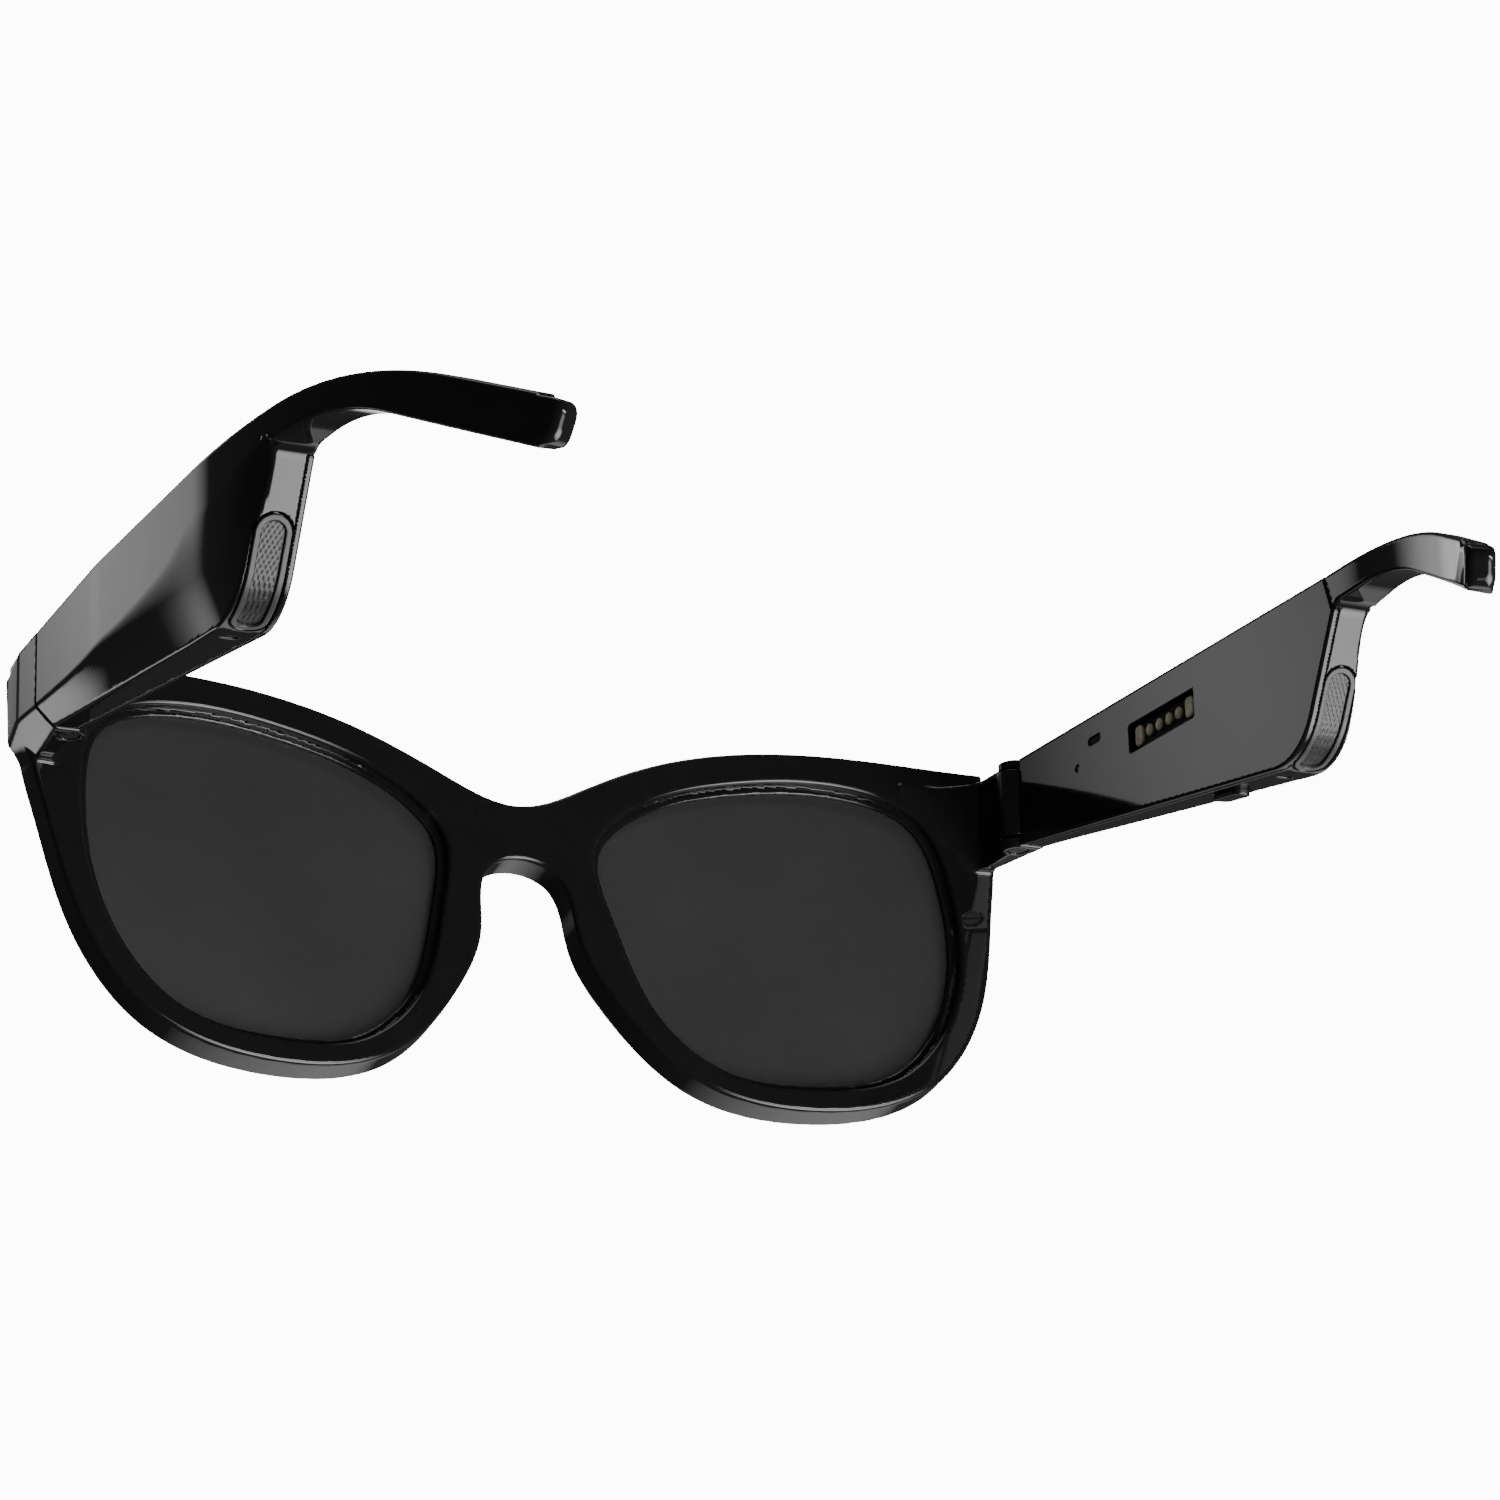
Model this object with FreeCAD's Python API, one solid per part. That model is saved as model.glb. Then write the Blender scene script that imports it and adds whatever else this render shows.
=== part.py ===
"""Smart glasses: a front frame with two lenses, and two folding temples full of electronics.

Millimetres.  X runs to the wearer's left, +Y to the rear (the glasses face -Y), +Z is up.
The glasses stand as on a table: on the two lower rims and on the ends of the ear hooks.
The origin is on that table, on the middle plane, level with the lens surface at the bridge.

Each temple is drawn straight in its own frame, then placed by one turn and one shift:
x as above, s along its straight top edge from the hinge axis, h up along the hinge axis.
"""
import FreeCAD
import Part
import math
import os

os.makedirs("parts", exist_ok=True)
V = FreeCAD.Vector
X_AXIS = V(1, 0, 0)
Z_AXIS = V(0, 0, 1)

# ---------------------------------------------------------------- driving dimensions
# front
LENS_WIDTH = 51.8            # opening in the rear face
LENS_HEIGHT = 47.6
LENS_SPACING = 73.8          # between the lens centres
LENS_THICK = 2.0
LENS_CENTRE_Z = 27.4
RIM_WIDTH = 4.5
BASE_RADIUS = 460.0          # wrap of the front, at the rear surface of the lenses
FRAME_AHEAD = 2.6            # frame material in front of the lens's rear surface
FRAME_BEHIND = 2.0           # and behind it
LIP_WIDTH = 1.1              # rim that stands in over the lens's rear edge
LIP_THICK = 0.6
GROOVE_DEPTH = 0.8
GROOVE_PLAY = 0.05
BRIDGE_TOP_RISE = 16.0       # over the lens centres
BRIDGE_UNDER_RISE = 7.6
NOSE_PAD_DEPTH = 1.6

# temples, in the temple frame
TEMPLE_DROP = 13.5           # degrees, rear end down
HINGE_X = 68.0
HINGE_Y = 19.55
HINGE_Z = 48.3               # where the hinge axis meets the top edge
INNER_X = 67.2               # flat inner face
THICKNESS = 7.4
COVER_THICK = 0.9
FRONT_DEPTH = 12.4           # height of the temple at the hinge
BULGE_S = 72.1               # lower rear corner of the speaker housing
BULGE_DEPTH = 22.0
BULGE_RADIUS = 9.0
REAR_ANGLE = 61.3            # degrees, slope of the housing's rear face
BEND_S = 99.0                # where the top edge and the hook's back would meet
BEND_RADIUS = 70.0
BEND_ANGLE = 25.8            # degrees, hook down from the top edge
HOOK_LENGTH = 32.4           # from that meeting point to the end
HOOK_ROOT = 4.1              # height of the hook where it leaves the housing
HOOK_END = 5.8               # and at its end
HOOK_INWARD = 28.5           # degrees, hook towards the head
HOOK_THICK = 5.0
NOTCH_RADIUS = 2.5
WALL = 2.0
SKIN = 2.0                   # outer wall over the cavity

# hinges
BARREL_RADIUS = 2.4
BARREL_LENGTH = 9.4
LUG_RADIUS = BARREL_RADIUS - 0.2
TOP_LUG = 1.2
SCREW_RADIUS = 0.7
SCREW_HEAD_RADIUS = 1.25
SCREW_HEAD = 0.9
SCREW_FIT = 0.04
HINGE_GAP = 0.2
LEAF_THICK = 1.2
LEAF_LENGTH = 12.0
LEAF_HEIGHT = 6.0

# speaker grille, wrapped round the lower rear corner
GRILLE_X = 70.5
GRILLE_WIDTH = 4.8
MESH_WIDTH = 2.9
BEZEL_THICK = 0.9
MESH_THICK = 0.4
MESH_RECESS = 0.3
GRILLE_TOP_H = -10.9
GRILLE_FRONT_S = 67.2
PORT_DEPTH = 2.6

# charging contacts and sensors, right temple
RECESS_S = 40.0
RECESS_H = -6.4
RECESS_LENGTH = 16.2
RECESS_HEIGHT = 3.8
CONTACT_PITCH = 2.45
CONTACT_RADIUS = 0.85
END_CONTACT_OFFSET = 6.3
END_CONTACT_WIDTH = 2.1
END_CONTACT_HEIGHT = 2.9
CONTACT_FLOOR = 0.8          # floor of the recess under the inner face
SENSOR_S = 23.0
SENSOR_H = -3.7
SENSOR_LENGTH = 3.0
SENSOR_HEIGHT = 1.0
LIGHT_S = 18.2
LIGHT_H = -6.3
LIGHT_RADIUS = 0.45

# power key, right temple underside
KEY_S = 50.8
KEY_LENGTH = 6.0
KEY_WIDTH = 2.6
KEY_PROUD = 0.8
KEY_FIT = 0.08
KEY_TRAVEL = 0.4
KEY_STEM = 1.1

SIDES = {"left": 1, "right": -1}


# ---------------------------------------------------------------- drawing helpers
def export(name, shape):
    """Write one piece, or one group of equal pieces, as parts/NAME.step."""
    shape.exportStep("parts/%s.step" % name)


def rounded_wire(corners, at):
    """Closed wire through corners (a, b, radius), with arcs at the corners that have a radius."""
    edges = []
    ends = []
    count = len(corners)
    for i, (a, b, radius) in enumerate(corners):
        here = V(a, b, 0)
        back = V(corners[i - 1][0], corners[i - 1][1], 0) - here
        ahead = V(corners[(i + 1) % count][0], corners[(i + 1) % count][1], 0) - here
        back.normalize()
        ahead.normalize()
        if radius <= 0:
            ends.append((here, here, None))
            continue
        half = math.acos(max(-1.0, min(1.0, back.dot(ahead)))) / 2
        middle = back + ahead
        middle.normalize()
        reach = radius / math.tan(half)
        centre = here + middle * (radius / math.sin(half))
        ends.append((here + back * reach, here + ahead * reach, centre - middle * radius))
    for i, (start, end, crown) in enumerate(ends):
        following = ends[(i + 1) % count][0]
        if crown is not None:
            edges.append(Part.Arc(at(start.x, start.y), at(crown.x, crown.y), at(end.x, end.y)).toShape())
        if (following - end).Length > 1e-6:
            edges.append(Part.makeLine(at(end.x, end.y), at(following.x, following.y)))
    return Part.Wire(edges)


def side_prism(corners, x_from, x_to):
    """A side view (s, h, radius) pushed through from one x to another."""
    wire = rounded_wire(corners, lambda s, h: V(x_from, s, h))
    return Part.Face(wire).extrude(V(x_to - x_from, 0, 0))


def plan_prism(corners, h_from, h_to):
    """A plan (x, s, radius) pushed up from one height to another."""
    wire = rounded_wire(corners, lambda x, s: V(x, s, h_from))
    return Part.Face(wire).extrude(V(0, 0, h_to - h_from))


def box(x_from, x_to, s_from, s_to, h_from, h_to):
    return Part.makeBox(x_to - x_from, s_to - s_from, h_to - h_from, V(x_from, s_from, h_from))


def hinge_cylinder(radius, h_from, h_to):
    return Part.makeCylinder(radius, h_to - h_from, V(HINGE_X, 0, h_from), Z_AXIS)


def line_cross(p, angle_p, q, angle_q):
    """Where the line through p at angle_p meets the line through q at angle_q, in degrees."""
    up, vp = math.cos(math.radians(angle_p)), math.sin(math.radians(angle_p))
    uq, vq = math.cos(math.radians(angle_q)), math.sin(math.radians(angle_q))
    t = ((q[0] - p[0]) * vq - (q[1] - p[1]) * uq) / (up * vq - vp * uq)
    return (p[0] + t * up, p[1] + t * vp)


def inset(corners, distances):
    """A convex outline moved inwards, by one distance for the edge that leaves each corner."""
    middle_a = sum(c[0] for c in corners) / len(corners)
    middle_b = sum(c[1] for c in corners) / len(corners)
    lines = []
    for i, (a, b, _) in enumerate(corners):
        a2, b2, _ = corners[(i + 1) % len(corners)]
        length = math.hypot(a2 - a, b2 - b)
        na, nb = (b - b2) / length, (a2 - a) / length
        if na * (middle_a - a) + nb * (middle_b - b) < 0:
            na, nb = -na, -nb
        moved = (a + na * distances[i], b + nb * distances[i])
        lines.append((moved, math.degrees(math.atan2(b2 - b, a2 - a))))
    result = []
    for i, (_, _, radius) in enumerate(corners):
        cross = line_cross(lines[i - 1][0], lines[i - 1][1], lines[i][0], lines[i][1])
        result.append((cross[0], cross[1], max(0.0, radius - distances[i])))
    return result


def place(shape, side):
    """Take a piece from the temple frame to its place on the glasses."""
    placed = shape.copy()
    placed.rotate(V(0, 0, 0), X_AXIS, -TEMPLE_DROP)
    placed.translate(V(0, HINGE_Y, HINGE_Z))
    return placed if side > 0 else placed.mirror(V(0, 0, 0), X_AXIS)


# ---------------------------------------------------------------- temple outlines
OUTER_X = INNER_X + THICKNESS
TEMPLE_S = BARREL_RADIUS + 0.05              # front face of the temple
REAR_SLOPE = math.tan(math.radians(REAR_ANGLE))
NOTCH_S = BULGE_S + (BULGE_DEPTH - HOOK_ROOT) / REAR_SLOPE
DOWN = math.radians(BEND_ANGLE)
TIP_TOP = (BEND_S + HOOK_LENGTH * math.cos(DOWN), -HOOK_LENGTH * math.sin(DOWN))
LONG_HOOK = HOOK_LENGTH + 4.0                # drawn past its end, which is cut square to the hook
LONG_TOP = (BEND_S + LONG_HOOK * math.cos(DOWN), -LONG_HOOK * math.sin(DOWN))
TIP_UNDER = (LONG_TOP[0] - HOOK_END * math.sin(DOWN), LONG_TOP[1] - HOOK_END * math.cos(DOWN))
UNDERSIDE_ANGLE = BEND_ANGLE + 1.0
HOOK_UNDER = line_cross((0, -HOOK_ROOT), 0, TIP_UNDER, -UNDERSIDE_ANGLE)
UNDER_SLOPE = (BULGE_DEPTH - FRONT_DEPTH) / (BULGE_S - TEMPLE_S)

UNDER_RADIUS = (HOOK_UNDER[0] - NOTCH_S - 2 * NOTCH_RADIUS) / math.tan(math.radians(UNDERSIDE_ANGLE / 2))
SIDE_VIEW = [
    (TEMPLE_S, 0, 0),
    (BEND_S, 0, BEND_RADIUS),
    (LONG_TOP[0], LONG_TOP[1], 0),
    (TIP_UNDER[0], TIP_UNDER[1], 0),
    (HOOK_UNDER[0], HOOK_UNDER[1], UNDER_RADIUS),
    (NOTCH_S, -HOOK_ROOT, NOTCH_RADIUS),
    (BULGE_S, -BULGE_DEPTH, BULGE_RADIUS),
    (TEMPLE_S, -FRONT_DEPTH, 0),
]

INWARD = math.radians(HOOK_INWARD)
INNER_BEND_S = BULGE_S + 32.4
OUTER_BEND_S = BULGE_S + 18.4
HOOK_REACH = 34.0            # past the inner bend, beyond the tip
PLAN = [
    (INNER_X, TEMPLE_S, 0),
    (INNER_X, INNER_BEND_S, 100.0),
    (INNER_X - HOOK_REACH * math.sin(INWARD), INNER_BEND_S + HOOK_REACH * math.cos(INWARD), 0),
    (INNER_X - HOOK_REACH * math.sin(INWARD) + HOOK_THICK, INNER_BEND_S + HOOK_REACH * math.cos(INWARD), 0),
    (OUTER_X, OUTER_BEND_S, 140.0),
    (OUTER_X, 28.0, 100.0),
    (OUTER_X - 1.25, TEMPLE_S, 0),
]

COVER_VIEW = [
    (TEMPLE_S, 0, 0),
    (NOTCH_S - 2.0, 0, 0),
    (NOTCH_S - 0.8 / REAR_SLOPE, -HOOK_ROOT - 0.8, 0),
    (BULGE_S, -BULGE_DEPTH, BULGE_RADIUS),
    (TEMPLE_S, -FRONT_DEPTH, 0),
]

CAVITY_FRONT = 3.6
CAVITY_X = (INNER_X + COVER_THICK, OUTER_X - SKIN)
CAVITY_VIEW = inset(COVER_VIEW, [WALL, WALL, WALL, WALL, CAVITY_FRONT])


def chamfer_cutter():
    """Everything outside the twisted facet between the outer face and the underside.

    Each pair is one rung (x, s, h) of the facet: its upper end on the outer face and its lower end
    on the underside.  The facet looks down at the hinge and turns outwards over the housing.
    """
    rungs = [
        ((OUTER_X - 3.6, -20.0, -9.2), (INNER_X + 0.6, -20.0, -FRONT_DEPTH - 0.5)),
        ((OUTER_X - 1.3, 1.0, -9.8), (INNER_X + 3.5, 2.4, -FRONT_DEPTH - 0.1)),
        ((OUTER_X, 30.0, -11.2), (INNER_X + 4.8, 31.0, -16.3)),
        ((OUTER_X, 46.0, -11.3), (INNER_X + 5.5, 48.0, -18.7)),
        ((OUTER_X, 56.0, -10.9), (INNER_X + 6.0, 61.0, -20.5)),
        ((OUTER_X, 63.5, -9.9), (INNER_X + 6.3, 70.0, -21.3)),
        ((OUTER_X, 69.0, -7.9), (INNER_X + 6.1, 74.6, -17.5)),
        ((OUTER_X - 0.3, 74.3, -5.0), (INNER_X + 5.3, 78.6, -10.0)),
        ((OUTER_X - 1.3, 82.0, -3.6), (INNER_X + 3.6, 84.0, -4.6)),
    ]
    overshoot = 0.2
    upper, lower = [], []
    for top, bottom in rungs:
        rung = (V(*top) - V(*bottom)) * overshoot
        upper.append(V(*top) + rung)
        lower.append(V(*bottom) - rung)
    curves = []
    for points in (upper, lower):
        curve = Part.BSplineCurve()
        curve.interpolate(points)
        curves.append(curve.toShape())
    facet = Part.makeRuledSurface(curves[0], curves[1])
    return facet.extrude(V(14, 4, -9))


def wrapped_band(depth_from, depth_to):
    """The layer between two depths under the lower rear corner of the housing, full width."""
    rear_s = BULGE_S + 14.0 / math.tan(math.radians(REAR_ANGLE))
    front_s = BULGE_S - 14.0
    view = [
        (BULGE_S, -BULGE_DEPTH, BULGE_RADIUS),
        (front_s, -BULGE_DEPTH + 14.0 * UNDER_SLOPE, 0),
        (front_s + 2.0, -BULGE_DEPTH + 14.0, 0),
        (rear_s, -BULGE_DEPTH + 14.0, 0),
    ]
    layers = []
    for depth in (depth_from, depth_to):
        corners = inset(view, [depth, 0, 0, depth])
        corners[0] = (corners[0][0], corners[0][1], BULGE_RADIUS - depth)
        layers.append(side_prism(corners, INNER_X - 1, OUTER_X + 1))
    return layers[0].cut(layers[1])


def wrapped_stadium(width, depth_from, depth_to, shrink=0.0):
    """A round-ended strip of that layer: the grille's outline, bent round the corner."""
    half = width / 2
    rear = math.radians(REAR_ANGLE)
    top_s = BULGE_S + (BULGE_DEPTH + GRILLE_TOP_H) / REAR_SLOPE
    top = V(GRILLE_X, top_s, GRILLE_TOP_H) - V(0, math.cos(rear), math.sin(rear)) * (half + shrink)
    out = V(0, math.sin(rear), -math.cos(rear))
    along = V(0, -math.cos(rear), -math.sin(rear))
    reach = 40.0
    upper = Part.makeCylinder(half, 2 * reach, top - out * reach, out)
    slot = Part.makeBox(width, reach, 2 * reach, V(0, 0, 0))
    slot.Placement = FreeCAD.Placement(
        top - X_AXIS * half - out * reach, FreeCAD.Rotation(X_AXIS, along, out, "ZXY"))
    upper = upper.fuse(slot)
    front_s = GRILLE_FRONT_S + half + shrink
    lower = Part.makeCylinder(half, 2 * reach, V(GRILLE_X, front_s, -reach), Z_AXIS)
    lower = lower.fuse(box(GRILLE_X - half, GRILLE_X + half, front_s, front_s + reach, -reach, reach))
    return wrapped_band(depth_from, depth_to).common(upper).common(lower)


# ---------------------------------------------------------------- front
def ring_slab(ahead, behind):
    """The curved sheet of the front, from ahead of the lens's rear surface to behind it."""
    centre = V(0, BASE_RADIUS, -50)
    outer = Part.makeCylinder(BASE_RADIUS + ahead, 200, centre, Z_AXIS)
    inner = Part.makeCylinder(BASE_RADIUS - behind, 200, centre, Z_AXIS)
    return outer.cut(inner)


LENS_SHAPE = [(1.0, 0.36), (0.88, 0.79), (0.45, 0.99), (-0.15, 0.96), (-0.72, 0.75), (-1.0, 0.42),
              (-0.96, 0.0), (-0.76, -0.62), (-0.42, -0.94), (0.05, -1.01), (0.55, -0.9), (0.87, -0.52)]


def lens_prism(grow, side):
    """The lens outline, grown all round and pushed through the front."""
    half_w = LENS_WIDTH / 2 + grow
    half_h = LENS_HEIGHT / 2 + grow
    points = [V(LENS_SPACING / 2 + u * half_w, -20, LENS_CENTRE_Z + v * half_h) for u, v in LENS_SHAPE]
    curve = Part.BSplineCurve()
    curve.interpolate(Points=points, PeriodicFlag=True)
    prism = Part.Face(Part.Wire([curve.toShape()])).extrude(V(0, 50, 0))
    return prism if side > 0 else prism.mirror(V(0, 0, 0), X_AXIS)


TOP_SHAPE = [(-0.885, 0.69), (-0.52, 0.87), (-0.03, 0.99), (0.5, 1.0), (1.1, 0.94)]
LOW_SHAPE = [(1.086, 0.45), (1.036, 0.166), (0.911, -0.364), (0.63, -0.79), (0.036, -0.965),
             (-0.5, -0.84), (-0.865, -0.42), (-0.985, -0.12)]


def front_outline_prism():
    """The frame's outline as seen from the front, without openings, pushed through."""
    half_w = LENS_WIDTH / 2 + RIM_WIDTH
    half_h = LENS_HEIGHT / 2 + RIM_WIDTH
    depth = -20

    def at(u, v):
        return V(LENS_SPACING / 2 + u * half_w, depth, LENS_CENTRE_Z + v * half_h)

    top = [V(0, depth, LENS_CENTRE_Z + BRIDGE_TOP_RISE)] + [at(u, v) for u, v in TOP_SHAPE]
    low = [at(u, v) for u, v in LOW_SHAPE]
    bridge_half = LENS_SPACING / 2 - LENS_WIDTH / 2
    low.append(V(0.42 * bridge_half, depth, LENS_CENTRE_Z + BRIDGE_UNDER_RISE - 1.6))
    low.append(V(0, depth, LENS_CENTRE_Z + BRIDGE_UNDER_RISE))
    upper = Part.BSplineCurve()
    upper.interpolate(Points=top, InitialTangent=V(1, 0, 0), FinalTangent=V(1, 0, -0.08))
    lower = Part.BSplineCurve()
    lower.interpolate(Points=low, InitialTangent=V(-0.1, 0, -1), FinalTangent=V(-1, 0, 0))
    edges = [upper.toShape(), Part.makeLine(top[-1], low[0]), lower.toShape(), Part.makeLine(low[-1], top[0])]
    half = Part.Face(Part.Wire(edges)).extrude(V(0, 50, 0))
    return half, half.mirror(V(0, 0, 0), X_AXIS)


def nose_pad(side, half_outline):
    """A raised pad along the nose side of the rim, on the rear face."""
    bridge_half = LENS_SPACING / 2 - LENS_WIDTH / 2
    corners = [(bridge_half - 7.5, LENS_CENTRE_Z + 3.5, 2.0), (bridge_half - 1.2, LENS_CENTRE_Z + 4.5, 2.0),
               (bridge_half + 4.6, LENS_CENTRE_Z - 14.5, 2.0), (bridge_half - 1.5, LENS_CENTRE_Z - 16.5, 2.0)]
    wire = rounded_wire(corners, lambda x, z: V(x, -20, z))
    pad = Part.Face(wire).extrude(V(0, 50, 0))
    if side < 0:
        pad = pad.mirror(V(0, 0, 0), X_AXIS)
    sheet = ring_slab(0, FRAME_BEHIND + NOSE_PAD_DEPTH)
    return pad.common(half_outline).common(sheet).cut(lens_prism(0, side))


ENDPIECE_PLAN = [
    (OUTER_X - 4.0, -18.0, 0),
    (OUTER_X - 1.7, -6.0, 15.0),
    (OUTER_X - 1.3, TEMPLE_S - HINGE_GAP, 0),
    (INNER_X, TEMPLE_S - HINGE_GAP, 0),
    (INNER_X, -9.5, 4.0),
    (INNER_X - 5.5, -13.6, 3.0),
    (INNER_X - 9.5, -14.0, 0),
    (INNER_X - 9.5, -18.0, 0),
]
BARREL_TOP = -TOP_LUG - HINGE_GAP
BARREL_BOTTOM = BARREL_TOP - BARREL_LENGTH
ENDPIECE_BOTTOM = -FRONT_DEPTH - 0.2


def endpiece(cutter):
    """The corner block behind the rim, with two lugs for the hinge, in the temple frame."""
    block = plan_prism(ENDPIECE_PLAN, ENDPIECE_BOTTOM, 0)
    block = block.cut(cutter)
    block = block.fuse(hinge_cylinder(LUG_RADIUS, ENDPIECE_BOTTOM, 0))
    recess = hinge_cylinder(BARREL_RADIUS + HINGE_GAP, BARREL_BOTTOM - HINGE_GAP, BARREL_TOP + HINGE_GAP)
    recess = recess.fuse(box(HINGE_X - BARREL_RADIUS - 1, HINGE_X + LEAF_THICK + 2.2, 0, TEMPLE_S,
                             BARREL_BOTTOM - HINGE_GAP, BARREL_TOP + HINGE_GAP))
    block = block.cut(recess)
    block = block.cut(hinge_cylinder(SCREW_RADIUS, ENDPIECE_BOTTOM - 1, -0.6))
    return block.cut(hinge_cylinder(SCREW_HEAD_RADIUS + 0.1, ENDPIECE_BOTTOM - 1, ENDPIECE_BOTTOM + SCREW_HEAD + 0.2))


def hinge_screw():
    """Slotted screw up through both lugs and the barrel, in the temple frame."""
    head_from = ENDPIECE_BOTTOM + 0.2
    head = hinge_cylinder(SCREW_HEAD_RADIUS, head_from, head_from + SCREW_HEAD)
    slot = box(HINGE_X - 2, HINGE_X + 2, -0.15, 0.15, head_from - 1, head_from + 0.35)
    shank = hinge_cylinder(SCREW_RADIUS, head_from + SCREW_HEAD, -0.7)
    return head.fuse(shank).cut(slot)


def build_front(cutter):
    halves = front_outline_prism()
    sheet = ring_slab(FRAME_AHEAD, FRAME_BEHIND)
    frame = halves[0].common(sheet).fuse(halves[1].common(sheet))
    front_clip = Part.makeCylinder(BASE_RADIUS + FRAME_AHEAD, 200, V(0, BASE_RADIUS, -50), Z_AXIS)
    corner = endpiece(cutter)
    for side in SIDES.values():
        frame = frame.fuse(place(corner, side).common(front_clip))
        frame = frame.fuse(nose_pad(side, halves[0] if side > 0 else halves[1]))
    behind_lip = ring_slab(-LIP_THICK, FRAME_BEHIND + NOSE_PAD_DEPTH + 1)
    groove = ring_slab(LENS_THICK + GROOVE_PLAY, GROOVE_PLAY)
    lens_sheet = ring_slab(LENS_THICK, 0)
    lens_grow = GROOVE_DEPTH - LIP_WIDTH
    for name, side in SIDES.items():
        frame = frame.cut(lens_prism(-LIP_WIDTH, side))
        frame = frame.cut(lens_prism(0, side).common(behind_lip))
        frame = frame.cut(lens_prism(lens_grow + GROOVE_PLAY, side).common(groove))
        export("lens_" + name, lens_prism(lens_grow, side).common(lens_sheet))
        export("hinge_screw_" + name, place(hinge_screw(), side))
    frame = frame.removeSplitter()
    export("front_frame", frame)
    return frame


# ---------------------------------------------------------------- temple pieces
TIP_SLOPE = math.atan(math.tan(DOWN) * math.cos(INWARD))
TIP_X = INNER_X - (TIP_TOP[0] - INNER_BEND_S) * math.tan(INWARD) + HOOK_THICK / 2 / math.cos(INWARD)


def hook_end_cutter():
    """Everything past the rounded end of the hook, which is square to the hook's own direction."""
    cap_length = 8.0
    spare = 0.05
    along = (math.cos(TIP_SLOPE), -math.sin(TIP_SLOPE))
    across = (-math.sin(TIP_SLOPE), -math.cos(TIP_SLOPE))
    depth = HOOK_END + 2 * spare
    top = (-across[0] * spare, -across[1] * spare)
    low = (top[0] + across[0] * depth, top[1] + across[1] * depth)
    view = [
        (top[0] - along[0] * cap_length, top[1] - along[1] * cap_length, 0),
        (top[0], top[1], 1.6),
        (low[0], low[1], 2.2),
        (low[0] - along[0] * cap_length, low[1] - along[1] * cap_length, 0),
    ]
    cap = side_prism(view, -20, 20)
    beyond = box(-20, 20, -3.2, 12, -20, 20)
    cutter = beyond.cut(cap)
    cutter.rotate(V(0, 0, 0), Z_AXIS, HOOK_INWARD)
    cutter.translate(V(TIP_X, TIP_TOP[0], TIP_TOP[1]))
    return cutter


def temple_blank():
    plan = plan_prism(PLAN, -60, 20)
    blank = side_prism(SIDE_VIEW, INNER_X - 30, OUTER_X + 5).common(plan)
    return blank.cut(hook_end_cutter())


LEAF_X = (HINGE_X + 0.6, HINGE_X + 0.6 + LEAF_THICK)
LEAF_MIDDLE = (BARREL_TOP + BARREL_BOTTOM) / 2
LEAF_H = (LEAF_MIDDLE - LEAF_HEIGHT / 2, LEAF_MIDDLE + LEAF_HEIGHT / 2)


def hinge_leaf():
    """Barrel and flat leaf, one metal piece held in the temple's front wall."""
    barrel = hinge_cylinder(BARREL_RADIUS, BARREL_BOTTOM, BARREL_TOP)
    leaf = box(LEAF_X[0], LEAF_X[1], 0, LEAF_LENGTH, LEAF_H[0], LEAF_H[1])
    holes = Part.makeCompound([
        Part.makeCylinder(SCREW_RADIUS, LEAF_THICK + 2, V(LEAF_X[0] - 1, s, LEAF_MIDDLE), X_AXIS)
        for s in LEAF_SCREW_S])
    return barrel.fuse(leaf).cut(hinge_cylinder(SCREW_RADIUS + SCREW_FIT, -60, 20)).cut(holes)


LEAF_SCREW_S = (7.6, 10.4)


def leaf_screws():
    """Two short screws from the leaf into a boss on the outer wall."""
    screws = []
    for s in LEAF_SCREW_S:
        head = Part.makeCylinder(1.1, 0.5, V(LEAF_X[0] - 0.5, s, LEAF_MIDDLE), X_AXIS)
        shank = Part.makeCylinder(SCREW_RADIUS, LEAF_THICK + 2.0, V(LEAF_X[0], s, LEAF_MIDDLE), X_AXIS)
        screws.append(head.fuse(shank))
    return screws


def housing_cavity():
    """The room for the electronics, less the boss that the hinge leaf is screwed to."""
    room = side_prism(CAVITY_VIEW, CAVITY_X[0], CAVITY_X[1])
    boss = box(LEAF_X[1], CAVITY_X[1] + 1, 0, LEAF_LENGTH, LEAF_H[0], LEAF_H[1])
    return room.cut(boss)


def under_h(s):
    """Height of the underside at s."""
    return -FRONT_DEPTH - (s - TEMPLE_S) * UNDER_SLOPE


MIC_S = 63.2
MIC_LENGTH = 2.2
MIC_WIDTH = 1.2
MIC_BODY = 1.6


def mic_slot(grow, h_from, h_to):
    """A round-ended slot across the underside under the microphone."""
    corners = [(GRILLE_X - MIC_LENGTH / 2 - grow, MIC_S - MIC_WIDTH / 2 - grow, MIC_WIDTH / 2.1 + grow),
               (GRILLE_X + MIC_LENGTH / 2 + grow, MIC_S - MIC_WIDTH / 2 - grow, MIC_WIDTH / 2.1 + grow),
               (GRILLE_X + MIC_LENGTH / 2 + grow, MIC_S + MIC_WIDTH / 2 + grow, MIC_WIDTH / 2.1 + grow),
               (GRILLE_X - MIC_LENGTH / 2 - grow, MIC_S + MIC_WIDTH / 2 + grow, MIC_WIDTH / 2.1 + grow)]
    return plan_prism(corners, h_from, h_to)


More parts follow.
